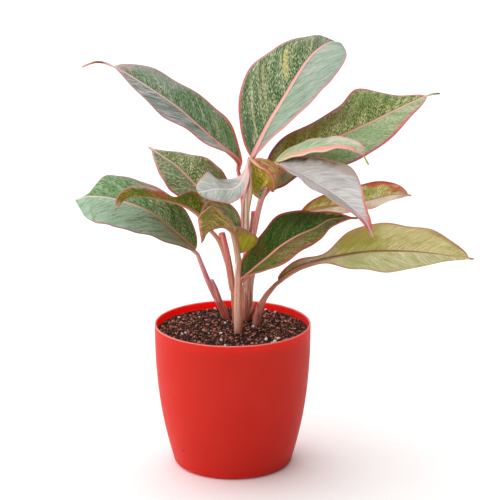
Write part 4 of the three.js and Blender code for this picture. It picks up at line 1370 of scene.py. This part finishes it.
class LeafPattern:
    """What both sides of a blade share: where a point lies on it, and patterns drawn along its veins."""

    def __init__(self, w, leaf_length, seed, look):
        self.w, self.length, self.seed = w, leaf_length, seed
        self.halves = [{**LEAF_FINISH, **look, **look.get(half, {})} for half in ("left", "right")]
        self.along, self.across, self.vein = w.split(w.attribute("sheet")["Vector"])
        self.run, self.share, self.edge = w.split(w.attribute("span")["Vector"])
        self.out = w.math("ABSOLUTE", self.across)
        self.signed = w.math("MULTIPLY", self.share, w.math("SIGN", self.across))
        self.right = w.rise(self.across, -HALF_SEAM, HALF_SEAM, (1.0, 0.0))
        self.apart = w.math("MULTIPLY_ADD", w.math("SIGN", self.across), 40.0, seed * 13.0)

    def streaks(self, width, length, detail=2.0, roughness=0.5):
        """Noise drawn out along the side veins, with cells of that width and length in millimetres."""
        w = self.w
        vector = w.vector(w.math("DIVIDE", self.vein, width), w.math("DIVIDE", self.out, length), self.apart)
        return w.noise(vector, 1.0, detail, roughness)

    def by_half(self, left, right):
        """A colour or a number of the left half beside one of the right."""
        w = self.w
        if isinstance(left, (int, float)):
            return w.math("MULTIPLY_ADD", self.right, right - left, left) if left != right else left
        return w.mix(self.right, left, right)

    def course(self, key):
        """Colours of both halves that change from base to tip."""
        return self.by_half(*(self.w.ramp(self.run, half[key]) for half in self.halves))

    def taper(self, key):
        """Widths of both halves that change from base to tip."""
        (base, tip), (right_base, right_tip) = (half[key] for half in self.halves)
        first, last = self.by_half(base, right_base), self.by_half(tip, right_tip)
        return self.w.math("MULTIPLY_ADD", self.run, self.w.math("SUBTRACT", last, first), first)

    def toned(self, key, cloud, fibre, speck):
        """The three tones of each half, as specks and streaks, and the mix of both that draws them."""
        w = self.w
        grain = self.by_half(*(half["grain"] for half in self.halves))
        fine = w.add("ShaderNodeMix", {0: grain, 2: fibre, 3: speck}).outputs[0]
        tone = w.math("MULTIPLY_ADD", cloud, CLOUD_SHARE, w.math("MULTIPLY", fine, 1 - CLOUD_SHARE))
        deep, middle, pale = (
            self.by_half(*(linear(half[key][k]) for half in self.halves)) for k in range(3)
        )
        base = w.mix(w.rise(tone, *DEEP_TO_MIDDLE), deep, middle)
        return w.mix(w.rise(tone, *MIDDLE_TO_PALE), base, pale), fine

    def wobbled(self, value, reach, size):
        """The value pushed to and fro, so that a boundary drawn from it is ragged."""
        w = self.w
        cells = w.vector(w.math("DIVIDE", self.along, size), w.math("DIVIDE", self.across, size), self.seed)
        push = w.math("MULTIPLY_ADD", w.noise(cells, 1.0, 3.0, 0.6), 2 * reach, -reach)
        return w.math("ADD", value, push)

    def between(self, value, low, high, soft):
        """1 where the value lies between low and high, and 0 outside."""
        w = self.w
        above = w.rise(value, low - soft, low + soft)
        below = w.rise(value, high - soft, high + soft, (1.0, 0.0))
        return w.math("MULTIPLY", above, below)

    def marked(self, base, key, fine):
        """Ragged patches laid over the base."""
        w, look = self.w, self.halves[0]
        run, signed = self.wobbled(self.run, 0.07, 5.0), self.wobbled(self.signed, 0.2, 6.0)
        broken = w.rise(fine, 0.34, 0.56, (0.3, 1.0))
        for start, end, low, high, colour, strength in look[key]:
            along, across = self.between(run, start, end, 0.035), self.between(signed, low, high, 0.16)
            inside = w.math("MULTIPLY", along, across)
            share = w.math("MULTIPLY", inside, w.math("MULTIPLY", broken, strength))
            base = w.mix(share, base, linear(colour))
        return base

    def banded(self, base, key, fibre, speck):
        """Feathered bands along the side veins."""
        w = self.w
        vein = w.math("MULTIPLY_ADD", fibre, 5.0, w.math("SUBTRACT", self.vein, 2.5))
        vein = w.math("MULTIPLY_ADD", speck, 2.0, w.math("SUBTRACT", vein, 1.0))
        broken = w.rise(speck, 0.4, 0.54, (0.25, 1.0))
        for start, wide, low, high, colour, strength in self.halves[0][key]:
            off = w.math("ABSOLUTE", w.math("SUBTRACT", vein, start * self.length))
            reach = w.math("MULTIPLY", self.between(self.signed, low, high, 0.12), wide)
            inside = w.rise(w.math("SUBTRACT", off, reach), -0.7, 0.7, (1.0, 0.0))
            inside = w.math("MULTIPLY", inside, self.between(self.signed, low, high, 0.1))
            share = w.math("MULTIPLY", inside, w.math("MULTIPLY", broken, strength))
            base = w.mix(share, base, linear(colour))
        return base

    def bordered(self, base, colours, widths, strength=1.0):
        """The coloured margin, of uneven width."""
        w = self.w
        edge = self.wobbled(self.edge, 0.7, 4.0)
        share = w.rise(w.math("DIVIDE", edge, self.taper(widths)), 0.45, 1.35, (strength, 0.0))
        return w.mix(share, base, self.course(colours))

    def ribbed(self, base, colours, widths, shade):
        """The midrib's colour, with a dark line of painted shade beside it where the crease lies."""
        w = self.w
        off = w.math("DIVIDE", self.wobbled(self.out, 0.25, 5.0), self.taper(widths))
        base = w.mix(w.rise(off, 1.0, 2.2, (0.45, 0.0)), base, shade)
        return w.mix(w.rise(off, 0.7, 1.25, (1.0, 0.0)), base, self.course(colours))

    def tipped(self, base, tail):
        """The colours of a drawn-out tip."""
        if tail < LEAST_TAIL:
            return base
        w = self.w
        colours = w.ramp(w.rise(self.run, 1 - tail, 1.0), self.halves[0]["tail"])
        return w.mix(w.rise(self.run, 1 - 1.15 * tail, 1 - 0.95 * tail), base, colours)


def face_finish(name, look, seed, sizes):
    """Upper side: specks and streaks of green, bands along the veins, and a pink margin and midrib."""
    material, w, shader = new_finish(name + "_face", 0.42, Specular_IOR_Level=0.16)
    length = leaf_frame(LEAVES[name], np.linspace(0, 1, 2))[-1]
    leaf = LeafPattern(w, length, seed, look)
    cloud = leaf.streaks(9.0, 22.0, 3.0)
    fibre = leaf.streaks(1.3, 8.0, 3.0, 0.6)
    speck = leaf.streaks(0.95, 1.6, 1.0)
    base, fine = leaf.toned("tones", cloud, fibre, speck)
    base = leaf.marked(base, "patches", fine)
    base = leaf.banded(base, "bands", fibre, speck)
    gap = sizes.vein_gap / MM
    near = w.math("PINGPONG", w.math("ADD", leaf.vein, VEINS_AHEAD * gap), gap / 2)
    line = w.math("MULTIPLY", w.rise(near, 0.1, 0.5, (0.3, 0.0)), w.rise(leaf.share, 0.55, 1.0, (1.0, 0.0)))
    line = w.math("MULTIPLY", line, w.rise(cloud, 0.4, 0.6))
    base = w.mix(line, base, linear(leaf.halves[0]["tones"][2]))
    base = leaf.bordered(base, "edge", "edge_width")
    base = leaf.ribbed(base, "rib", "rib_width", linear(leaf.halves[0]["tones"][0]))
    base = leaf.tipped(base, LEAVES[name]["tail"])
    w.feed(shader.inputs["Base Color"], base)
    w.feed(shader.inputs["Roughness"], w.rise(fibre, 0.3, 0.7, (0.36, 0.5)))
    bump(w, shader, w.math("ADD", w.math("MULTIPLY", fibre, 0.6), w.math("MULTIPLY", speck, 0.4)), 0.00025)
    return material


def under_finish(name, look, seed, sizes):
    """Lower side: olive to lime, with patches, raised pale veins and a thin red margin."""
    material, w, shader = new_finish(name + "_under", 0.5, Specular_IOR_Level=0.16)
    length = leaf_frame(LEAVES[name], np.linspace(0, 1, 2))[-1]
    leaf = LeafPattern(w, length, seed + 20, look)
    cloud = leaf.streaks(8.0, 24.0, 3.0)
    fibre = leaf.streaks(1.3, 9.0, 3.0, 0.6)
    speck = leaf.streaks(1.0, 1.8, 1.0)
    base, fine = leaf.toned("under", cloud, fibre, speck)
    base = leaf.marked(base, "under_patches", fine)
    base = leaf.banded(base, "under_bands", fibre, speck)
    gap = sizes.vein_gap / MM
    near = w.math("PINGPONG", w.math("ADD", leaf.vein, VEINS_AHEAD * gap), gap / 2)
    line = w.math("MULTIPLY", w.rise(near, 0.15, 0.6, (0.16, 0.0)), w.rise(leaf.share, 0.5, 0.95, (1.0, 0.0)))
    base = w.mix(line, base, linear((206, 196, 140)))
    base = leaf.bordered(base, "under_edge", "edge_width", 0.85)
    base = leaf.ribbed(base, "under_rib", "under_rib_width", linear(leaf.halves[0]["under"][0]))
    base = leaf.tipped(base, LEAVES[name]["tail"])
    w.feed(shader.inputs["Base Color"], base)
    w.feed(shader.inputs["Roughness"], w.rise(fibre, 0.3, 0.7, (0.44, 0.58)))
    bump(w, shader, fibre, 0.0002)
    return material


def make_blade(name, sizes):
    look, seed = LEAF_FINISHES[name], int(name[-2:])
    materials = [face_finish(name, look, seed, sizes), under_finish(name, look, seed, sizes)]
    add_piece("leaf" + name[-3:], blade_mesh(name, LEAVES[name], sizes), materials, "leaf_green", name)


# --- the shoots -------------------------------------------------------------------------------------


class StalkSizes(PropertyGroup):
    sides: IntProperty(name="Sides", description="Faces round a stalk", default=18)
    strands: FloatVectorProperty(
        name="Strands", description="Pale streaks along the stalks",
        default=linear((244, 196, 180)), subtype="COLOR",
    )
    grooves: FloatVectorProperty(
        name="Grooves", description="Dark streaks along the stalks",
        default=linear((140, 72, 52)), subtype="COLOR",
    )
    grey: FloatVectorProperty(
        name="Grey", description="Pale grey-green strands", default=linear((202, 190, 168)), subtype="COLOR"
    )


APPROACH = 4  # how far below the blade the stalk turns into its midrib's way
STALK_STEPS, RIB_STEPS, CANE_STEPS, SHEATH_STEPS = 60, 60, 24, 20
RIB_END = 0.95  # share of the blade's length where its rib ends
RIB_TIP, RIB_THINNING = 0.3, 1.7  # radius of a rib at its end, and the power by which it thins
SUNK = 0.75  # share of the rib's radius between its centre and the blade
LEAST_MITRE = 0.3  # keeps the rib near the crease where the blade is folded almost shut
SOILED = (0.114, 0.124)  # heights between which the brown of the soil fades from the stalks
CANE_DEPTH, ROOT_DEPTH = 26, 12  # how far canes and stalks reach into the soil


def rib_centres(leaf, shares, radii, sizes):
    """Centres of a rib half sunk into the blade's underside, along its crease."""
    place, _, side, up, _ = leaf_frame(leaf, shares)
    left, right = (np.radians(curve_at(leaf[key]["fold"], shares)) for key in ("left", "right"))
    lean = (right - left) / 2
    mitre = np.maximum(np.cos((left + right) / 2), LEAST_MITRE)
    drop = sizes.thickness / MM / 2 / mitre + SUNK * radii
    return place - (drop * np.cos(lean))[:, None] * up - (drop * np.sin(lean))[:, None] * side


def coloured(colours, shares):
    """Scene colours at shares of the way through a row of colours."""
    row = np.array([linear(colour) for colour in colours])
    spots = np.linspace(0, 1, len(row))
    return np.stack([np.interp(shares, spots, row[:, k]) for k in range(3)], axis=1)


def stalk_line(leaf, under_rib, sizes):
    """Centres, radii and skin of a stalk from the soil to the blade, and on under the blade as its rib."""
    foot, neck = leaf["radii"]
    shares = np.linspace(0, RIB_END, RIB_STEPS + 1)
    rib_radii = RIB_TIP + (neck - RIB_TIP) * (1 - shares / RIB_END) ** RIB_THINNING
    rib = rib_centres(leaf, shares, rib_radii, sizes)
    ahead = leaf_frame(leaf, shares[:1])[1][0]
    x, y, z = leaf["stalk"][0]
    foot_x, foot_y = SHOOTS[leaf["shoot"]]["foot"]
    root = ((x + foot_x) / 2, (y + foot_y) / 2, z - ROOT_DEPTH)
    path = [root, *leaf["stalk"][:-1], rib[0] - APPROACH * ahead]
    steps = np.linspace(0, 1, STALK_STEPS + 1)
    below = along_path(path, steps, EASED)[0]
    centres = np.concatenate([below, rib])
    radii = np.concatenate([np.linspace(foot, neck, STALK_STEPS + 1), rib_radii])
    rib_skin = coloured([leaf["skin"][-1], *under_rib], shares)
    return centres, radii, np.concatenate([coloured(leaf["skin"], steps), rib_skin])


def plain_line(path, radii, colours, count):
    """Centres, radii and skin along a path, in that many steps."""
    steps = np.linspace(0, 1, count + 1)
    return along_path(path, steps)[0], np.linspace(*radii, count + 1), coloured(colours, steps)


def cane_line(pot, soil, shoot):
    x, y = shoot["foot"]
    ground = (pot.height - soil.below) / MM
    path = [(x, y, ground - CANE_DEPTH), (x, y, ground), shoot["top"]]
    return plain_line(path, shoot["radii"], shoot["skin"], CANE_STEPS)


def stalk_finish(name, stalks, seed):
    """Each stalk's own skin, streaked lengthwise, with grey-green strands, dark grooves and brown spots."""
    material, w, shader = new_finish(name + "_skin", 0.45, Specular_IOR_Level=0.2)
    x, y, _ = w.split(w.attribute("turn")["Vector"])
    run = w.attribute("run")["Fac"]
    height = w.split(w.add("ShaderNodeTexCoord").outputs["Object"])[2]

    def strands(across, along, detail, roughness=0.5):
        sideways, forward = w.math("MULTIPLY", x, across), w.math("MULTIPLY", y, across)
        vector = w.vector(sideways, forward, w.math("MULTIPLY_ADD", run, along, seed))
        return w.noise(vector, 1.0, detail, roughness)

    broad = strands(1.3, 0.02, 2.0)
    fine = strands(3.6, 0.035, 3.0, 0.6)
    spots = strands(2.0, 0.7, 2.0)
    skin = w.attribute("skin")["Color"]
    base = w.mix(w.rise(broad, 0.38, 0.46, (0.45, 0.0)), skin, stalks.grooves)
    base = w.mix(w.rise(fine, 0.53, 0.6, (0.0, 0.6)), base, stalks.strands)
    base = w.mix(w.rise(fine, 0.38, 0.45, (0.5, 0.0)), base, stalks.grooves)
    base = w.mix(w.rise(broad, 0.56, 0.66, (0.0, 0.35)), base, stalks.grey)
    base = w.mix(w.rise(spots, 0.66, 0.72, (0.0, 0.7)), base, linear((92, 52, 40)))
    base = w.mix(w.rise(height, *SOILED, (0.6, 0.0)), base, linear((96, 58, 36)))
    w.feed(shader.inputs["Base Color"], base)
    w.feed(shader.inputs["Roughness"], w.rise(fine, 0.3, 0.7, (0.38, 0.52)))
    bump(w, shader, fine, 0.0003)
    return material


def make_shoot(name, tree, pot, soil, stalks, blades):
    """A cane with its leaf stalks and sheaths, all swept along their lines in one piece."""
    shoot = SHOOTS[name]
    lines = [cane_line(pot, soil, shoot)]
    for blade, leaf in LEAVES.items():
        if leaf["shoot"] == name:
            look = {**LEAF_FINISH, **LEAF_FINISHES[blade]}
            lines.append(stalk_line(leaf, look["under_rib"], blades))
    lines += [plain_line(*sheath, SHEATH_STEPS) for sheath in shoot["sheaths"]]
    points, radii, runs, skins, edges = [], [], [], [], []
    for centres, sizes, skin in lines:
        start = len(points)
        edges += [(start + k, start + k + 1) for k in range(len(centres) - 1)]
        runs += [0, *np.cumsum(np.linalg.norm(np.diff(centres, axis=0), axis=1))]
        points += list(centres * MM)
        radii += list(sizes * MM)
        skins += list(skin)
    mesh = bpy.data.meshes.new(name)
    mesh.from_pydata(np.array(points).tolist(), edges, [])
    give(mesh, "size", radii)
    give(mesh, "run", runs)
    give(mesh, "skin", skins)
    values = {"Sides": stalks.sides, "Material": stalk_finish(name, stalks, len(name))}
    add_piece("stalks" + name[5:], grown(mesh, tree, values), [], "stalk_pink", name)


# --- the stage --------------------------------------------------------------------------------------


class StageSizes(PropertyGroup):
    floor: FloatVectorProperty(
        name="Floor", description="Colour of the floor", default=(0.95, 0.95, 0.95), subtype="COLOR"
    )
    sky: FloatProperty(name="Sky", description="Strength of the soft light all round", default=0.05)
    glow: FloatProperty(name="Glow", description="Strength of the glow from the upper left", default=1.75)
    softbox: FloatProperty(
        name="Softbox", description="Strength of the soft light from above and behind", default=1.3
    )
    camera: FloatVectorProperty(
        name="Camera", description="Place of the camera",
        default=(0.0144, -1.337, 0.5364), subtype="TRANSLATION",
    )
    pitch: FloatProperty(
        name="Pitch", description="How far the camera looks down", default=math.radians(14.8), subtype="ANGLE"
    )
    lens: FloatProperty(name="Lens", description="Focal length in millimetres", default=120.8)


FLOOR_RADIUS, FLOOR_SIDES, FLOOR_DEPTH = 40.0, 96, 0.0002
GLOW_WAY = Vector((-0.7, -0.2, 0.69)).normalized()
SOFTBOX_WAY = Vector((0.05, 0.45, 0.88)).normalized()
SOFTBOX_SPREAD = math.radians(55)
SENSOR_WIDTH = 36  # of the camera, in millimetres


def studio_world(stage):
    """Soft light that glows from the upper left and fades to the right and below."""
    world = bpy.data.worlds.new("studio")
    world.use_nodes = True
    w = Wiring(world.node_tree)
    way = w.add("ShaderNodeTexCoord").outputs["Generated"]
    facing = w.add("ShaderNodeVectorMath", {0: way, 1: GLOW_WAY}, operation="DOT_PRODUCT").outputs["Value"]
    light = w.math("MULTIPLY_ADD", w.math("MAXIMUM", facing, 0.0), stage.glow, stage.sky)
    w.feed(world.node_tree.nodes["Background"].inputs["Strength"], light)
    world.node_tree.nodes["Background"].inputs["Color"].default_value = (1, 1, 1, 1)
    return world


def add_softbox(name, strength):
    light = bpy.data.lights.new(name, "SUN")
    light.energy, light.angle = strength, SOFTBOX_SPREAD
    lamp = bpy.data.objects.new(name, light)
    lamp.rotation_euler = (-SOFTBOX_WAY).to_track_quat("-Z", "Y").to_euler()
    bpy.context.scene.collection.objects.link(lamp)


def set_stage(stage):
    scene = bpy.context.scene
    turns = np.arange(FLOOR_SIDES) * 2 * np.pi / FLOOR_SIDES
    ring = [(FLOOR_RADIUS * math.cos(t), FLOOR_RADIUS * math.sin(t), -FLOOR_DEPTH) for t in turns]
    floor = link("floor", new_mesh("floor", ring, [tuple(range(FLOOR_SIDES))]))
    material, _, shader = new_finish("pale_floor", 0.9, Specular_IOR_Level=0.1)
    shader.inputs["Base Color"].default_value = [*stage.floor, 1]
    floor.data.materials.append(material)
    scene.world = studio_world(stage)
    add_softbox("softbox", stage.softbox)
    camera = bpy.data.cameras.new("camera")
    camera.lens, camera.sensor_width = stage.lens, SENSOR_WIDTH
    eye = bpy.data.objects.new("camera", camera)
    eye.location = stage.camera
    eye.rotation_euler = (math.pi / 2 - stage.pitch, 0, 0)
    scene.collection.objects.link(eye)
    scene.camera = eye
    scene.view_settings.view_transform = "Standard"


# --- the add-on -------------------------------------------------------------------------------------


class EVERGREEN_OT_pot(Operator):
    """Turn the red plastic pot and drill its drain holes"""

    bl_idname = "evergreen.pot"
    bl_label = "Pot"

    def execute(self, context):
        make_pot(context.scene.evergreen_pot)
        return {"FINISHED"}


class EVERGREEN_OT_soil(Operator):
    """Fill the pot with potting mix, and lay crumbs and white grains on top"""

    bl_idname = "evergreen.soil"
    bl_label = "Soil"

    def execute(self, context):
        scene = context.scene
        make_soil(scene.evergreen_pot, scene.evergreen_soil)
        make_crumbs(scene.evergreen_pot, scene.evergreen_soil)
        make_grains(scene.evergreen_pot, scene.evergreen_soil)
        return {"FINISHED"}


class EVERGREEN_OT_shoots(Operator):
    """Grow the canes, leaf stalks and sheaths of the five shoots"""

    bl_idname = "evergreen.shoots"
    bl_label = "Shoots"

    def execute(self, context):
        scene, tree = context.scene, stalk_tree()
        pot, soil = scene.evergreen_pot, scene.evergreen_soil
        for name in SHOOTS:
            make_shoot(name, tree, pot, soil, scene.evergreen_stalks, scene.evergreen_blades)
        return {"FINISHED"}


class EVERGREEN_OT_blades(Operator):
    """Unfold the fourteen leaf blades"""

    bl_idname = "evergreen.blades"
    bl_label = "Leaf blades"

    def execute(self, context):
        for name in LEAVES:
            make_blade(name, context.scene.evergreen_blades)
        return {"FINISHED"}


class EVERGREEN_OT_stage(Operator):
    """Set the floor, the studio light and the camera"""

    bl_idname = "evergreen.stage"
    bl_label = "Stage"

    def execute(self, context):
        set_stage(context.scene.evergreen_stage)
        return {"FINISHED"}


class EVERGREEN_PT_panel(Panel):
    bl_label = "Evergreen"
    bl_space_type = "VIEW_3D"
    bl_region_type = "UI"
    bl_category = "Evergreen"

    def draw(self, context):
        for key, (_, operator) in GROUPS.items():
            box = self.layout.box()
            group = getattr(context.scene, key)
            for name in group.__annotations__:
                box.prop(group, name)
            box.operator(operator.bl_idname)


GROUPS = {
    "evergreen_pot": (PotSizes, EVERGREEN_OT_pot),
    "evergreen_soil": (SoilSizes, EVERGREEN_OT_soil),
    "evergreen_stalks": (StalkSizes, EVERGREEN_OT_shoots),
    "evergreen_blades": (BladeSizes, EVERGREEN_OT_blades),
    "evergreen_stage": (StageSizes, EVERGREEN_OT_stage),
}


def register():
    for key, (group, operator) in GROUPS.items():
        bpy.utils.register_class(group)
        bpy.utils.register_class(operator)
        setattr(bpy.types.Scene, key, PointerProperty(type=group))
    bpy.utils.register_class(EVERGREEN_PT_panel)


def unregister():
    bpy.utils.unregister_class(EVERGREEN_PT_panel)
    for key, (group, operator) in GROUPS.items():
        delattr(bpy.types.Scene, key)
        bpy.utils.unregister_class(operator)
        bpy.utils.unregister_class(group)


def main():
    register()
    bpy.ops.evergreen.pot()
    bpy.ops.evergreen.soil()
    bpy.ops.evergreen.shoots()
    bpy.ops.evergreen.blades()
    bpy.ops.evergreen.stage()


if __name__ == "__main__":
    main()
